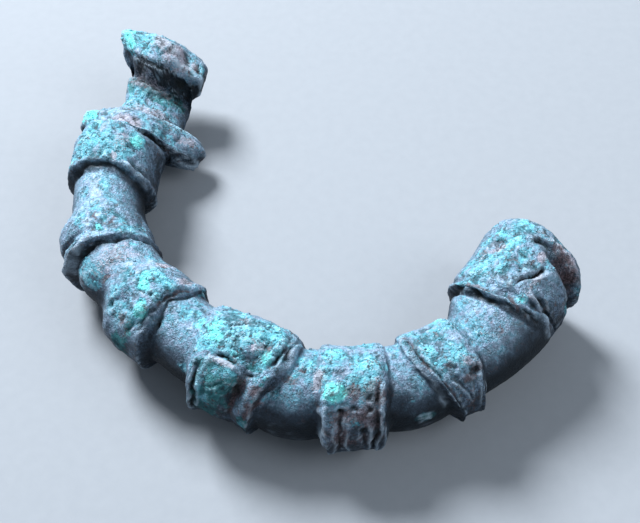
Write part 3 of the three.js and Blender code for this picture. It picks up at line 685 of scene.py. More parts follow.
def grid_normals(points):
    """Outward directions of a grid that is closed round its second direction."""
    lengthwise = np.gradient(points, axis=0)
    around = np.roll(points, -1, 1) - np.roll(points, 1, 1)
    normal = np.cross(lengthwise, around)
    length = np.linalg.norm(normal, axis=-1, keepdims=True)
    return normal / np.maximum(length, 1e-9)


def blurred(values, rounds):
    """Neighbouring grid points averaged a number of times."""
    for _ in range(rounds):
        padded = np.concatenate([values[:1], values, values[-1:]])
        values = (padded[:-2] + 2 * values + padded[2:]) / 4
        values = (np.roll(values, 1, 1) + 2 * values + np.roll(values, -1, 1)) / 4
    return values


# ---- fine relief and finishes ------------------------------------------------
# name: strength, size of its features, seed, layers, share that each finer layer keeps
ROUGHNESS = {
    "edge_wander": (0.3, 1.9, 11, 2, 0.45),
    "strand_wander": (0.18, 1.2, 5, 1, 1),
    "strand_tremble": (0.12, 0.5, 6, 1, 1),
    "strand_strength": (0.5, 0.8, 7, 1, 1),
    "rust_wander": (0.3, 0.9, 14, 3, 0.5),
    "rust_breaks": (1, 0.7, 15, 3, 0.5),
    "pit_skew": (0.3, 0.6, 8, 2, 0.5),
    "pit_stretch": (0.3, 0.6, 9, 2, 0.5),
    "ragged_finish": (0.55, 1.3, 21, 4, 0.7),
    "crust_drift": (1, 2.4, 31, 4, 0.65),
    "crust_plates": (1, 1.5, 40, 3, 0.65),
    "crust_creases": (1, 1.0, 43, 3, 0.6),
    "fine_lumps": (1, 0.7, 61, 3, 0.7),
    "broad_swells": (1, 1.8, 51, 3, 0.5),
    "gnarled_edges": (1, 1.0, 71, 3, 0.65),
    "end_faces": (0.22, 1.4, 81, 4, 0.6),
}
CRUST_KNOBS, CRUST_GRAINS = (0.75, 41), (0.36, 47)  # size and seed of the pebbles in the crust
# heights and depths of what makes up the crust
PLATE_HEIGHT, KNOB_HEIGHT, GRAIN_HEIGHT, CREASE_DEPTH, CRUST_SINK = 0.14, 0.045, 0.05, 0.08, 0.06
CRUST_ON_BAR, CRUST_ON_BANDS = 0.5, 0.74
ROUGH_FOOT = (69.0, 70.0)  # stations between which the foot grows as rough as a moulding
# strength of a roughness on the plain bar, and what a moulding or the top adds to it
BAR_LUMPS, BAND_LUMPS = 0.02, 0.09
BAR_SWELLS, BAND_SWELLS = 0.025, 0.12
EDGE_GNARLS, TOP_EDGE_GNARLS, EDGE_LOSS = 0.07, 0.14, 0.03
RUST_DEPTH = 0.07
CREST_MIDDLE, CREST_RANGE = 0.45, 0.16  # how crust height is turned into the crest mark


def roughness(name, points):
    strength, size, seed, layers, keep = ROUGHNESS[name]
    return strength * layered(points, size, seed, layers, keep)


def strand_reach(path, station, angle, girth):
    """Distance from a path on the surface, and how far inside its ends each point lies."""
    nearest = np.full(station.shape, 99.0)
    ends = np.zeros(station.shape)
    runs = [0.0]
    for (s0, b0), (s1, b1) in zip(path, path[1:]):
        runs.append(runs[-1] + math.hypot(s1 - s0, math.radians(b1 - b0) * BAR_RADIUS))
    for i, ((s0, b0), (s1, b1)) in enumerate(zip(path, path[1:])):
        x = station - s0
        y = across(angle, b0, girth)
        along_x = s1 - s0
        along_y = math.radians(b1 - b0) * girth
        t = np.clip((x * along_x + y * along_y) / (along_x**2 + along_y**2), 0, 1)
        distance = np.hypot(x - along_x * t, y - along_y * t)
        run = mix(runs[i], runs[i + 1], t)
        closer = distance < nearest
        ends = np.where(closer, np.minimum(run, runs[-1] - run), ends)
        nearest = np.where(closer, distance, nearest)
    return nearest, ends


def strand_height(station, angle, girth, points):
    """Cracks, grooves and thin ridges, and how far each point is opened or raised by them."""
    wander = roughness("strand_wander", points) + roughness("strand_tremble", points)
    uneven = 0.8 + roughness("strand_strength", points)
    height = np.zeros(station.shape)
    opened = np.zeros(station.shape)
    raised = np.zeros(station.shape)
    for _, width, tall, path in STRANDS:
        reach, ends = strand_reach(path, station + wander, angle, girth)
        shape = uneven * np.exp(-((reach / width) ** 2)) * smooth(-0.1, STRAND_FADE, ends)
        height += tall * shape
        if tall < 0:
            opened = np.maximum(opened, shape * min(1, -tall / 0.4))
        else:
            raised = np.maximum(raised, shape * min(1, tall / 0.2))
    return height, opened, raised


def rust_lines(station, angle, girth, points):
    """Thin red-brown lines where the crust has broken away."""
    wander = roughness("rust_wander", points)
    mask = np.zeros(station.shape)
    for _, width, path in RUST_LINES:
        reach, _ = strand_reach(path, station + wander, angle, girth)
        mask = np.maximum(mask, np.exp(-((reach / width) ** 2)))
    return mask


def pit_height(station, angle, girth, points):
    """Small corrosion pits with uneven rims, and how dark each point is in them."""
    height = np.zeros(station.shape)
    opened = np.zeros(station.shape)
    skew = roughness("pit_skew", points)
    stretch = roughness("pit_stretch", points)
    for _, at, bearing, radius, depth in PITS:
        turn = across(angle, bearing, girth)
        reach = np.hypot(station - at + skew, turn + stretch) / radius
        shape = np.exp(-(reach**3))
        height -= 0.8 * depth * shape
        opened = np.maximum(opened, shape * min(0.8, depth / 0.6))
    return height, opened


def finish_masks(station, angle, girth, points):
    """How much of each finish, and of the painted shade of the dark patches, lies on each point, with
    ragged edges: 1 covers it.
    """
    ragged_edge = roughness("ragged_finish", points)
    masks = {}
    for name, patches in PATCHES.items():
        masks[name] = np.zeros(station.shape)
        for at, bearing, length, width, strength in patches:
            reach = np.hypot((station - at) / length, across(angle, bearing, girth) / width)
            cover = strength * np.clip(1.45 - 0.85 * reach + ragged_edge, 0, 1) * (reach < 2.4)
            masks[name] = np.maximum(masks[name], cover)
    return masks


def on_bands(station):
    """1 on the mouldings, the cap and the foot, 0 on the plain bar."""
    cover = 1 - smooth(CAP_FOOT - 0.3, CAP_FOOT + 0.1, station)
    cover = np.maximum(cover, smooth(*ROUGH_FOOT, station))
    for _, start, end, run, soft, *_ in BANDS:
        inside = smooth(start - run, start + run, station)
        cover = np.maximum(cover, inside * (1 - smooth(end - soft, end + soft, station)))
    return cover


def near_edges(station):
    """1 at the edges of the mouldings, 0 away from them."""
    near = np.zeros(station.shape)
    for _, start, end, *_ in BANDS[1:]:
        near = np.maximum(near, np.maximum(hump(station, start, 0.6), hump(station, end, 0.6)))
    return near


def crust_height(points, normal, thick, grained):
    """A flaking mineral crust: plates with broken edges, knobs on them, and fine grains."""
    plate = roughness("crust_plates", points + 0.2 * normal)
    flakes = 0.6 * smooth(-0.02, 0.1, plate) + 0.4 * smooth(0.26, 0.36, plate)
    nearest, second = pebbles(points + 0.3 * normal, *CRUST_KNOBS)
    knob = np.sqrt(np.clip(1 - (1.1 * nearest) ** 2, 0, 1)) * smooth(0, 0.2, second - nearest)
    grain_near, grain_next = pebbles(points, *CRUST_GRAINS)
    grain = np.clip(1 - 1.3 * grain_near, 0, 1) * smooth(0, 0.25, grain_next - grain_near)
    creases = 1 - smooth(0, 0.13, np.abs(roughness("crust_creases", points)))
    plates = PLATE_HEIGHT * flakes + KNOB_HEIGHT * knob - CREASE_DEPTH * creases - CRUST_SINK
    grains = GRAIN_HEIGHT * (grain - 0.25)
    return thick * plates + (0.35 * grained + 0.65 * thick) * grains


def cast_surface():
    """Points of the finished casting, from the bow's centre, and the finishes, painted sheen and painted
    shade on them.
    """
    station, angle, fill = grid()
    plain = place(station, angle, fill)
    girdle = np.stack([4 * np.cos(angle), 4 * np.sin(angle), station], -1)
    wander = roughness("edge_wander", girdle)
    wander *= smooth(CAP_END + FACE_RUN, CAP_END + 3 * FACE_RUN, station)
    for _, at, bearing, length, spread, shift in EDGE_SHIFTS:
        turn = np.degrees(across(angle, bearing, 1))
        wander += shift * hump(station, at, length) * hump(turn, 0, spread)
    eroded = place(station, angle, fill, wander)
    girth = np.maximum(np.hypot(*section_at(station, angle)), 1.0)
    normal = grid_normals(eroded)
    banded = on_bands(station)
    masks = finish_masks(station, angle, girth, plain)

    # a thin general crust lies on the upper side of the mouldings
    upward = normal[..., 2]
    drift = roughness("crust_drift", plain)
    lit_and_weathered = normal @ KEY_LIT_WEATHERED_SIDE + 0.12 * drift
    upper = smooth(0.3, 0.92, lit_and_weathered)
    general = mix(CRUST_ON_BAR, CRUST_ON_BANDS, banded) * upper * smooth(-0.6, 0.4, drift)
    crust = np.maximum(masks["crust"], general)
    thick = np.clip(crust + 0.3 * masks["teal"] + 0.4 * masks["pale"], 0, 1)
    thick *= 1 - 0.6 * np.clip(masks["teal"], 0, 1)
    coarse = np.maximum(banded, 0.7 * upper)
    grained = np.clip(0.3 + coarse, 0, 1)

    broken = smooth(-0.5, 0.1, roughness("rust_breaks", plain))
    rusted = 0.85 * broken * rust_lines(station, angle, girth, plain)
    height = crust_height(plain, normal, thick, grained)
    lumpy = BAR_LUMPS + BAND_LUMPS * coarse * mix(0.45, 1, upper)
    height += lumpy * roughness("fine_lumps", plain)
    crest = np.clip(CREST_MIDDLE + height / CREST_RANGE, 0, 1)
    height += (BAR_SWELLS + BAND_SWELLS * banded) * roughness("broad_swells", plain)
    height += lump_height(KNOBS, station, angle, girth)
    gnarled = EDGE_GNARLS + TOP_EDGE_GNARLS * upper
    edge_height = gnarled * roughness("gnarled_edges", plain) - EDGE_LOSS
    height += near_edges(station) * edge_height
    height -= RUST_DEPTH * rusted
    strands, cracked, raised = strand_height(station, angle, girth, plain)
    holes, pitted = pit_height(station, angle, girth, plain)
    height += strands + holes
    height += smooth(1, 0.8, fill) * roughness("end_faces", plain)
    height *= smooth(0, 0.25, fill) * mix(1, 0.5, smooth(-0.4, -0.8, upward))
    points = eroded + normal * height[..., None]

    # hollow and worn places, from how far each point lies under or over its neighbours
    fine_lift = ((points - blurred(points, 2)) * normal).sum(-1)
    broad_lift = ((points - blurred(points, 12)) * normal).sum(-1)
    hollow = 0.65 * smooth(0.03, 0.1, -fine_lift) + 0.6 * smooth(0.08, 0.35, -broad_lift)
    worn = 0.8 * smooth(0.015, 0.06, fine_lift) + 0.3 * smooth(0.05, 0.3, broad_lift)
    marks = {
        "crust": crust * (1 - 0.8 * rusted),
        "crest": crest,
        "teal": masks["teal"],
        "rust": np.maximum(masks["rust"], rusted),
        "pale": masks["pale"],
        "dark": masks["dark"],
        "hollow": np.maximum(hollow, np.maximum(cracked, pitted)),
        "worn": np.maximum(worn, raised),
        # pale bloom with a painted sheen, strongest on the side that faces the key light
        "bloom_and_sheen": smooth(0, 1, (lit_and_weathered - mix(0.3, 0.05, banded)) / mix(0.67, 0.9, banded)),
        # painted shade, darker on the sides that face away from the key light
        "under": mix(smooth(0.55, 0.0, lit_and_weathered), 0.65 * smooth(0.35, -0.25, lit_and_weathered), banded),
        "coarse": coarse,
    }
    return plain, points, {name: np.clip(values, 0, 2) for name, values in marks.items()}


# ---- meshes ------------------------------------------------------------------


def frame_shift(plain):
    """From the bow's centre to the frame: the plain casting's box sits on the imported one."""
    low, high = np.array(CAD_BOX[0]), np.array(CAD_BOX[1])
    middle = (plain.reshape(-1, 3).min(0) + plain.reshape(-1, 3).max(0)) / 2
    shift = (low + high) / 2 / MM - middle
    return np.array([shift[0], shift[1], 0.0])


def grid_mesh(name, points, marks):
    """A closed mesh over the grid, with a point at the middle of each end."""
    rows, columns = points.shape[:2]
    ends = np.stack([points[0].mean(0), points[-1].mean(0)])
    vertices = np.concatenate([points.reshape(-1, 3), ends])
    vertices[:, 2] = np.maximum(vertices[:, 2], 0)
    row = np.arange(rows - 1)[:, None] * columns
    column = np.arange(columns)[None, :]
    following = (column + 1) % columns
    corners = [row + column, row + columns + column, row + columns + following, row + following]
    quads = np.stack(corners, -1).reshape(-1, 4)
    first, last = rows * columns, rows * columns + 1
    offset = (rows - 1) * columns
    caps = [(first, int(c), (int(c) + 1) % columns) for c in range(columns)]
    caps += [(last, offset + (int(c) + 1) % columns, offset + int(c)) for c in range(columns)]
    mesh = bpy.data.meshes.new(name)
    mesh.from_pydata((vertices * MM).tolist(), [], quads.tolist() + caps)
    for mark, values in marks.items():
        attribute = mesh.attributes.new(mark, "FLOAT", "POINT")
        flat = np.concatenate([values.ravel(), [values[0].mean(), values[-1].mean()]])
        attribute.data.foreach_set("value", flat.astype(np.float32))
    mesh.shade_smooth()
    mesh.update()
    return mesh


def add_object(name, data):
    made = bpy.data.objects.new(name, data)
    bpy.context.scene.collection.objects.link(made)
    return made


# ---- materials ---------------------------------------------------------------
MOTTLE_SCALE, SPECKLE_SCALE, CRACKLE_SCALE = 900.0, 5200.0, 950.0  # features in a metre


class Nodes:
    """Small helper that adds and joins the nodes of one tree."""

    def __init__(self, tree):
        self.tree = tree

    def add(self, kind, sockets=(), **settings):
        """A node of a kind, with its settings and the value or node that feeds each socket."""
        node = self.tree.nodes.new(kind)
        for name, value in settings.items():
            setattr(node, name, value)
        for name, value in dict(sockets).items():
            self.feed(node.inputs[name], value)
        return node

    def feed(self, socket, value):
        if isinstance(value, bpy.types.NodeSocket):
            self.tree.links.new(value, socket)
        else:
            socket.default_value = value

    def math(self, operation, a, b=0.0, clamp=False):
        sockets = {0: a, 1: b}
        return self.add("ShaderNodeMath", sockets, operation=operation, use_clamp=clamp).outputs[0]

    def plus(self, a, b):
        return self.math("ADD", a, b)

    def minus(self, a, b, clamp=False):
        return self.math("SUBTRACT", a, b, clamp)

    def times(self, a, b, clamp=False):
        return self.math("MULTIPLY", a, b, clamp)

    def most(self, a, b):
        return self.math("MAXIMUM", a, b)

    def step(self, value, low, high):
        """Eased step of a value from 0 at low to 1 at high."""
        sockets = {"Value": value, "From Min": low, "From Max": high}
        node = self.add("ShaderNodeMapRange", sockets, interpolation_type="SMOOTHSTEP")
        return node.outputs["Result"]

    def blend(self, share, a, b):
        return self.add("ShaderNodeMix", {0: share, 6: a, 7: b}, data_type="RGBA").outputs[2]

    def mark(self, name):
        return self.add("ShaderNodeAttribute", attribute_name=name).outputs["Fac"]

    def noise(self, position, scale, detail, roughness):
        sockets = {"Vector": position, "Scale": scale, "Detail": detail, "Roughness": roughness}
        return self.add("ShaderNodeTexNoise", sockets).outputs[0]


def new_socket(tree, name, kind, direction, value=None):
    kind = "NodeSocket" + kind
    socket = tree.interface.new_socket(name=name, in_out=direction, socket_type=kind)
    if value is not None:
        socket.default_value = value


def new_tree(name, kind, inputs, outputs):
    """A node group with its sockets: tree, helper, what comes in and where it goes out."""
    tree = bpy.data.node_groups.new(name, kind)
    for socket in inputs:
        new_socket(tree, socket[0], socket[1], "INPUT", *socket[2:])
    for socket in outputs:
        new_socket(tree, socket[0], socket[1], "OUTPUT")
    n = Nodes(tree)
    return tree, n, n.add("NodeGroupInput").outputs, n.add("NodeGroupOutput").inputs


def grain_group():
    """Mottling, speckle, sparse flecks and a height, for every corroded surface."""
    inputs = [
        ("Position", "Vector"),
        ("Mottle Scale", "Float", MOTTLE_SCALE),
        ("Speckle Scale", "Float", SPECKLE_SCALE),
        ("Crackle Scale", "Float", CRACKLE_SCALE),
    ]
    outputs = [(name, "Float") for name in ("Mottle", "Speckle", "Fleck", "Hue", "Crackle", "Height")]
    tree, n, entry, leave = new_tree("corroded_grain", "ShaderNodeTree", inputs, outputs)
    position = entry["Position"]
    speckle_scale = entry["Speckle Scale"]
    mottle = n.noise(position, entry["Mottle Scale"], 5.0, 0.65)
    speckle = n.noise(position, speckle_scale, 3.0, 0.75)
    fleck = n.noise(position, n.times(speckle_scale, 0.33), 3.0, 0.65)
    crackle = n.noise(position, entry["Crackle Scale"], 3.0, 0.6)
    grains = n.add("ShaderNodeTexVoronoi", {"Vector": position, "Scale": speckle_scale})
    off_line = n.math("ABSOLUTE", n.minus(crackle, 0.5))
    line = n.times(n.step(off_line, 0.03, 0.0), n.step(mottle, 0.4, 0.6))
    height = n.minus(n.plus(speckle, n.times(fleck, 0.8)), n.times(grains.outputs["Distance"], 0.5))
    n.feed(leave["Crackle"], line)
    n.feed(leave["Hue"], n.step(fleck, 0.42, 0.6))
    n.feed(leave["Mottle"], n.step(mottle, 0.3, 0.7))
    n.feed(leave["Speckle"], n.step(speckle, 0.22, 0.78))
    n.feed(leave["Fleck"], n.step(fleck, 0.57, 0.66))
    n.feed(leave["Height"], n.minus(height, n.times(line, 0.7)))
    return tree


def ragged_group():
    """A soft mask broken up by the grain into a ragged one."""
    inputs = [("Mask", "Float", 0.0), ("Grain", "Float", 0.5), ("Break Up", "Float", 0.5)]
    tree, n, entry, leave = new_tree("ragged_mask", "ShaderNodeTree", inputs, [("Mask", "Float")])
    moved = n.times(n.minus(entry["Grain"], 0.5), entry["Break Up"])
    n.feed(leave["Mask"], n.step(n.plus(entry["Mask"], moved), 0.25, 0.7))
    return tree


GRAIN = grain_group()
RAGGED = ragged_group()

DARK_BRONZE = (0.012, 0.018, 0.026, 1)
GREY_BRONZE = (0.085, 0.13, 0.19, 1)
# pale blues of the bloom, dust and worn edges, also used for the painted sheen and glints
SOFT_BLUE = (0.3, 0.45, 0.66, 1)
PALE_TURQUOISE = (0.19, 0.55, 0.71, 1)
PALE_BLUE_WHITE = (0.62, 0.78, 0.93, 1)
TURQUOISE = (0.1, 0.35, 0.47, 1)
BRIGHT_TURQUOISE = (0.22, 0.77, 0.89, 1)
SPOT_TURQUOISE = (0.22, 0.9, 0.9, 1)
VALLEY_TEAL = (0.02, 0.07, 0.085, 1)
DEEP_TEAL = (0.03, 0.16, 0.19, 1)
LIT_TEAL = (0.09, 0.36, 0.38, 1)
RED_BROWN = (0.25, 0.155, 0.16, 1)
BROWN_DARK = (0.03, 0.018, 0.016, 1)
PINKISH_WHITE = (0.55, 0.5, 0.58, 1)
HOLLOW_DARK = (0.014, 0.018, 0.019, 1)
# colour of the painted shade on the undersides and in the dark patches
PAINTED_SHADE_DARK = (0.008, 0.012, 0.016, 1)
PAPER_DARK, PAPER_LIGHT = (0.37, 0.4, 0.44, 1), (0.41, 0.44, 0.48, 1)
GRAIN_DEPTH = 0.00014  # metres
CRUST_ROUGHNESS, BARE_SMOOTHER, SPECKLE_ROUGHER = 0.85, 0.3, 0.12
BARE_METALLIC, BARE_COAT, COAT_ROUGHNESS, SPECULAR = 0.3, 0.2, 0.35, 0.2


def new_material(name):
    """A material, the helper for its nodes, its shader and its Object coordinates."""
    material = bpy.data.materials.new(name)
    material.use_nodes = True
    material.node_tree.nodes.clear()
    n = Nodes(material.node_tree)
    shader = n.add("ShaderNodeBsdfPrincipled")
    n.add("ShaderNodeOutputMaterial", {"Surface": shader.outputs[0]})
    return material, n, shader, n.add("ShaderNodeTexCoord").outputs["Object"]


def ragged(n, mask, grain, break_up):
    sockets = {"Mask": mask, "Grain": grain, "Break Up": break_up}
    return n.add("ShaderNodeGroup", sockets, node_tree=RAGGED).outputs["Mask"]


def patinated_bronze():
    """Dark bronze under a pale bloom with a painted sheen, with verdigris, teal, rust, cracks and worn
    edges, painted glints and painted shade.
    """
    material, n, shader, position = new_material("patinated_bronze_aged")
    scales = {
        "Position": position,
        "Mottle Scale": MOTTLE_SCALE,
        "Speckle Scale": SPECKLE_SCALE,
        "Crackle Scale": CRACKLE_SCALE,
    }
    grain = n.add("ShaderNodeGroup", scales, node_tree=GRAIN).outputs
    mottle, speckle, fleck = grain["Mottle"], grain["Speckle"], grain["Fleck"]
    hue, crackle, fine = grain["Hue"], grain["Crackle"], grain["Height"]

    crust_mark, crest, coarse, lit_and_weathered = map(n.mark, ("crust", "crest", "coarse", "bloom_and_sheen"))
    crust = ragged(n, crust_mark, mottle, 0.8)
    teal = ragged(n, n.mark("teal"), mottle, 0.6)
    rust = ragged(n, n.mark("rust"), speckle, 0.6)
    pale = ragged(n, n.mark("pale"), speckle, 0.8)
    # painted shade: the sides away from the key light and the dark patches
    shaded = n.most(n.mark("under"), ragged(n, n.mark("dark"), mottle, 0.5))
    patchy = n.times(n.plus(mottle, speckle), 0.5)
    # pale bloom with a painted sheen where it faces the key light
    bloom_and_sheen = n.times(lit_and_weathered, n.plus(0.4, patchy), clamp=True)
    dusty = n.times(n.step(patchy, 0.45, 0.8), coarse)
    # painted glints: white specks on the side that faces the key light
    painted_glint = n.times(n.step(speckle, 0.72, 1.0), lit_and_weathered)
    # painted shade in the crust's valleys
    valley = n.times(n.step(crest, 0.36, 0.0), coarse)
    flecked = n.times(fleck, n.plus(0.35, n.times(coarse, 0.5)))
    bright_spot = n.step(crust_mark, 1.05, 1.45)

    bloom_and_sheen_color = n.blend(n.times(patchy, 0.75), SOFT_BLUE, PALE_BLUE_WHITE)
    bloom_and_sheen_color = n.blend(n.times(hue, 0.7), bloom_and_sheen_color, PALE_TURQUOISE)
    # painted light: the crust is lighter on its crests
    lit_crust = n.times(n.step(crust_mark, 0.1, 1.5), n.plus(crest, speckle))
    verdigris = n.blend(lit_crust, TURQUOISE, BRIGHT_TURQUOISE)
    whitened = n.times(n.step(mottle, 0.5, 1.0), n.step(speckle, 0.3, 0.8))
    verdigris = n.blend(n.times(whitened, 0.55), verdigris, PALE_BLUE_WHITE)

    # what lies on the bronze, and the painted sheen, glints, light and shade, from the bottom up: where,
    # how strongly, its colour
    coverings = [
        (bloom_and_sheen, 0.9, bloom_and_sheen_color),
        (dusty, 0.4, SOFT_BLUE),
        # teal, painted lighter on its crests and darker between them
        (teal, 0.92, n.blend(crest, DEEP_TEAL, LIT_TEAL)),
        (crust, 0.92, verdigris),
        (pale, 0.75, PINKISH_WHITE),
        (painted_glint, 0.75, PALE_BLUE_WHITE),
        (valley, 0.6, n.blend(mottle, VALLEY_TEAL, BROWN_DARK)),
        (n.times(crackle, coarse), 0.55, VALLEY_TEAL),
        (bright_spot, 1.0, SPOT_TURQUOISE),
        (flecked, 0.75, n.blend(mottle, BROWN_DARK, RED_BROWN)),
        (rust, 0.7, n.blend(speckle, BROWN_DARK, RED_BROWN)),
        (shaded, 0.92, PAINTED_SHADE_DARK),
        (n.mark("worn"), 0.4, PALE_BLUE_WHITE),
        (n.mark("hollow"), 0.9, HOLLOW_DARK),
    ]
    color = n.blend(patchy, DARK_BRONZE, GREY_BRONZE)
    for where, strength, covering in coverings:
        color = n.blend(n.times(where, strength), color, covering)

    bare = n.minus(1.0, n.most(n.most(crust, teal), n.most(rust, pale)), clamp=True)
    rough = n.minus(CRUST_ROUGHNESS, n.times(bare, BARE_SMOOTHER))
    rough = n.plus(rough, n.times(speckle, SPECKLE_ROUGHER))
    open_side = n.minus(1.0, shaded, clamp=True)
    height = n.times(fine, n.plus(0.5, n.times(coarse, 0.5)))
    bump = n.add("ShaderNodeBump", {"Strength": 1.0, "Distance": GRAIN_DEPTH, "Height": height})
    n.feed(shader.inputs["Base Color"], color)
    n.feed(shader.inputs["Roughness"], rough)
    n.feed(shader.inputs["Metallic"], n.times(bare, BARE_METALLIC))
    n.feed(shader.inputs["Coat Weight"], n.times(n.times(bare, open_side), BARE_COAT))
    n.feed(shader.inputs["Coat Roughness"], COAT_ROUGHNESS)
    n.feed(shader.inputs["Specular IOR Level"], SPECULAR)
    n.feed(shader.inputs["Normal"], bump.outputs[0])
    return material


def floor_paper():
    """Pale, matt, slightly fibrous paper."""
    material, n, shader, position = new_material("pale_floor_paper")
    fibre = n.noise(position, 900.0, 4.0, 0.5)
    bump = n.add("ShaderNodeBump", {"Strength": 0.15, "Distance": 0.0001, "Height": fibre})
    n.feed(shader.inputs["Base Color"], n.blend(fibre, PAPER_DARK, PAPER_LIGHT))
    n.feed(shader.inputs["Roughness"], 0.85)
    n.feed(shader.inputs["Normal"], bump.outputs[0])
    return material


# ---- crumbs of corrosion -----------------------------------------------------
CRUMB_RADIUS = 0.15  # millimetres
CRUMB_SPACING = 0.42
CRUMBS_PER_SQUARE_MM = 3.0
LEAST_CRUST, FULL_CRUST = 0.3, 1.2
CRUMB_SIDES, CRUMB_RINGS = 7, 5
CRUMB_SIZE_FROM, CRUMB_SIZE_TO = (0.45, 0.6, 0.35), (1.25, 1.5, 0.8)
CRUMB_TILT = 0.5  # radians
CRUMB_CREST = 0.9  # how lit the crumbs' colour is
CRUMB_SEED, SIZE_SEED_STEP = 23, 5.0


def crumb_tree():
    """Small crumbs scattered over the casting, crowded where its crust is thick."""
    inputs = [
        ("Casting", "Geometry"),
        ("Radius", "Float", CRUMB_RADIUS * MM),
        ("Spacing", "Float", CRUMB_SPACING * MM),
        ("Crowd", "Float", CRUMBS_PER_SQUARE_MM / MM**2),
        ("Least Crust", "Float", LEAST_CRUST),
        ("Full Crust", "Float", FULL_CRUST),
        ("Seed", "Int", 1),
        ("Finish", "Material"),
    ]
    outputs = [("Crumbs", "Geometry")]
    tree, n, entry, leave = new_tree("corrosion_crumbs", "GeometryNodeTree", inputs, outputs)

    crust = n.add("GeometryNodeInputNamedAttribute", {"Name": "crust"}, data_type="FLOAT")
    crust_range = {"From Min": entry["Least Crust"], "From Max": entry["Full Crust"]}
    crowd = n.add("ShaderNodeMapRange", {"Value": crust.outputs["Attribute"], **crust_range})
    where = {
        "Mesh": entry["Casting"],
        "Distance Min": entry["Spacing"],
        "Density Max": entry["Crowd"],
        "Density Factor": crowd.outputs["Result"],
        "Seed": entry["Seed"],
    }
    spread = n.add("GeometryNodeDistributePointsOnFaces", where, distribute_method="POISSON")
    lit = n.add(
        "GeometryNodeStoreNamedAttribute",
        {"Geometry": spread.outputs["Points"], "Name": "crest", "Value": CRUMB_CREST},
        data_type="FLOAT",
        domain="POINT",
    )

    ball = {"Segments": CRUMB_SIDES, "Rings": CRUMB_RINGS, "Radius": entry["Radius"]}
    crumb = n.add("GeometryNodeMeshUVSphere", ball)
    turns = {
        "Min": (-CRUMB_TILT, -CRUMB_TILT, -math.pi),
        "Max": (CRUMB_TILT, CRUMB_TILT, math.pi),
        "Seed": entry["Seed"],
    }
    tilt = n.add("FunctionNodeRandomValue", turns, data_type="FLOAT_VECTOR")
    tilted = n.add("FunctionNodeEulerToRotation", {"Euler": tilt.outputs["Value"]})
    upright = {"Rotation": spread.outputs["Rotation"], "Rotate By": tilted.outputs["Rotation"]}
    turned = n.add("FunctionNodeRotateRotation", upright, rotation_space="LOCAL")
    size_seed = n.plus(entry["Seed"], SIZE_SEED_STEP)
    sizes = {"Min": CRUMB_SIZE_FROM, "Max": CRUMB_SIZE_TO, "Seed": size_seed}
    size = n.add("FunctionNodeRandomValue", sizes, data_type="FLOAT_VECTOR")
    each = {
        "Points": lit.outputs["Geometry"],
        "Instance": crumb.outputs["Mesh"],
        "Rotation": turned.outputs["Rotation"],
        "Scale": size.outputs["Value"],
    }
    placed = n.add("GeometryNodeInstanceOnPoints", each)

    real = n.add("GeometryNodeRealizeInstances", {"Geometry": placed.outputs["Instances"]})
    rounded = n.add("GeometryNodeSetShadeSmooth", {"Geometry": real.outputs["Geometry"]})
    coated = {"Geometry": rounded.outputs["Geometry"], "Material": entry["Finish"]}
    finished = n.add("GeometryNodeSetMaterial", coated)
    n.feed(leave["Crumbs"], finished.outputs["Geometry"])
    return tree


def socket_identifier(tree, name):
    for item in tree.interface.items_tree:
        if item.item_type == "SOCKET" and item.in_out == "INPUT" and item.name == name:
            return item.identifier
    raise ValueError(name)


def add_crumbs(casting_mesh, material):
    """The crumbs as one plain mesh, worked out by the tree on the casting's mesh."""
    crumbs = add_object("corrosion_crumbs", casting_mesh)
    modifier = crumbs.modifiers.new("crumbs", "NODES")
    modifier.node_group = crumb_tree()
    modifier[socket_identifier(modifier.node_group, "Finish")] = material
    modifier[socket_identifier(modifier.node_group, "Seed")] = CRUMB_SEED
    bpy.context.view_layer.update()
    evaluated = crumbs.evaluated_get(bpy.context.evaluated_depsgraph_get())
    mesh = bpy.data.meshes.new_from_object(evaluated)
    crumbs.modifiers.remove(modifier)
    crumbs.data = mesh
    mesh.name = "corrosion_crumbs"
    return crumbs


# ---- stage, light and camera -------------------------------------------------
CAMERA_ELEVATION = 55.0  # degrees over the floor
CAMERA_FROM_CENTRE = (-1.324, -60.699, 79.14)  # millimetres from the bow's centre
CAMERA_LENS, CAMERA_SENSOR = 53.4, 36.0
FLOOR_HALF = 1.2  # metres

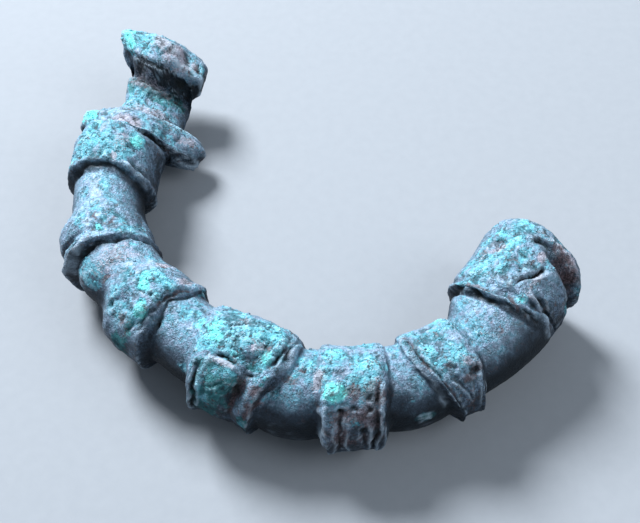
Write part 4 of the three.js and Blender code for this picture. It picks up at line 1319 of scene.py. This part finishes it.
# name, place and width in millimetres, power, colour (each faces the middle of the floor)
LIGHTS = [
    ("key_light", (-230, 300, 330), 200, 5.0, (0.92, 0.96, 1.0)),
    ("fill_light", (220, -60, 200), 220, 0.3, (0.9, 0.95, 1.0)),
]
SKY_COLOR, SKY_STRENGTH = (0.75, 0.87, 1.0, 1), 0.25


def add_camera(shift):
    data = bpy.data.cameras.new("studio_camera")
    data.lens = CAMERA_LENS
    data.sensor_width = CAMERA_SENSOR
    data.clip_start = 0.005
    data.clip_end = 10.0
    camera = add_object("studio_camera", data)
    camera.location = (np.array(CAMERA_FROM_CENTRE) + shift) * MM
    camera.rotation_euler = (math.radians(90 - CAMERA_ELEVATION), 0, 0)
    bpy.context.scene.camera = camera


def add_light(name, place_mm, width_mm, power, color):
    data = bpy.data.lights.new(name, "AREA")
    data.shape = "DISK"
    data.size = width_mm * MM
    data.energy = power
    data.color = color
    light = add_object(name, data)
    x, y, z = place_mm
    light.location = np.array(place_mm) * MM
    tilt = math.pi / 2 - math.atan2(z, math.hypot(x, y))
    light.rotation_euler = (tilt, 0, math.atan2(-y, -x) - math.pi / 2)


def add_floor():
    mesh = bpy.data.meshes.new("pale_floor")
    corners = [(x * FLOOR_HALF, y * FLOOR_HALF, 0) for x, y in ((-1, -1), (1, -1), (1, 1), (-1, 1))]
    mesh.from_pydata(corners, [], [(0, 1, 2, 3)])
    floor = add_object("pale_floor", mesh)
    mesh.materials.append(floor_paper())


def add_sky():
    world = bpy.data.worlds.new("studio_world")
    world.use_nodes = True
    background = world.node_tree.nodes["Background"]
    background.inputs["Color"].default_value = SKY_COLOR
    background.inputs["Strength"].default_value = SKY_STRENGTH
    bpy.context.scene.world = world


# ---- put together ------------------------------------------------------------
plain_points, cast_points, surface_marks = cast_surface()
SHIFT = frame_shift(plain_points)
bow_mesh = grid_mesh("bow_casting", cast_points + SHIFT, surface_marks)
bow = add_object("bow_casting", bow_mesh)
bronze = patinated_bronze()
bow_mesh.materials.append(bronze)
crumbs = add_crumbs(bow_mesh, bronze)
for piece in (bow, crumbs):
    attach(piece, "root")
    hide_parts("fibula_bow")

add_floor()
add_sky()
for light in LIGHTS:
    add_light(*light)
bpy.context.scene.view_settings.view_transform = "Standard"
add_camera(SHIFT)
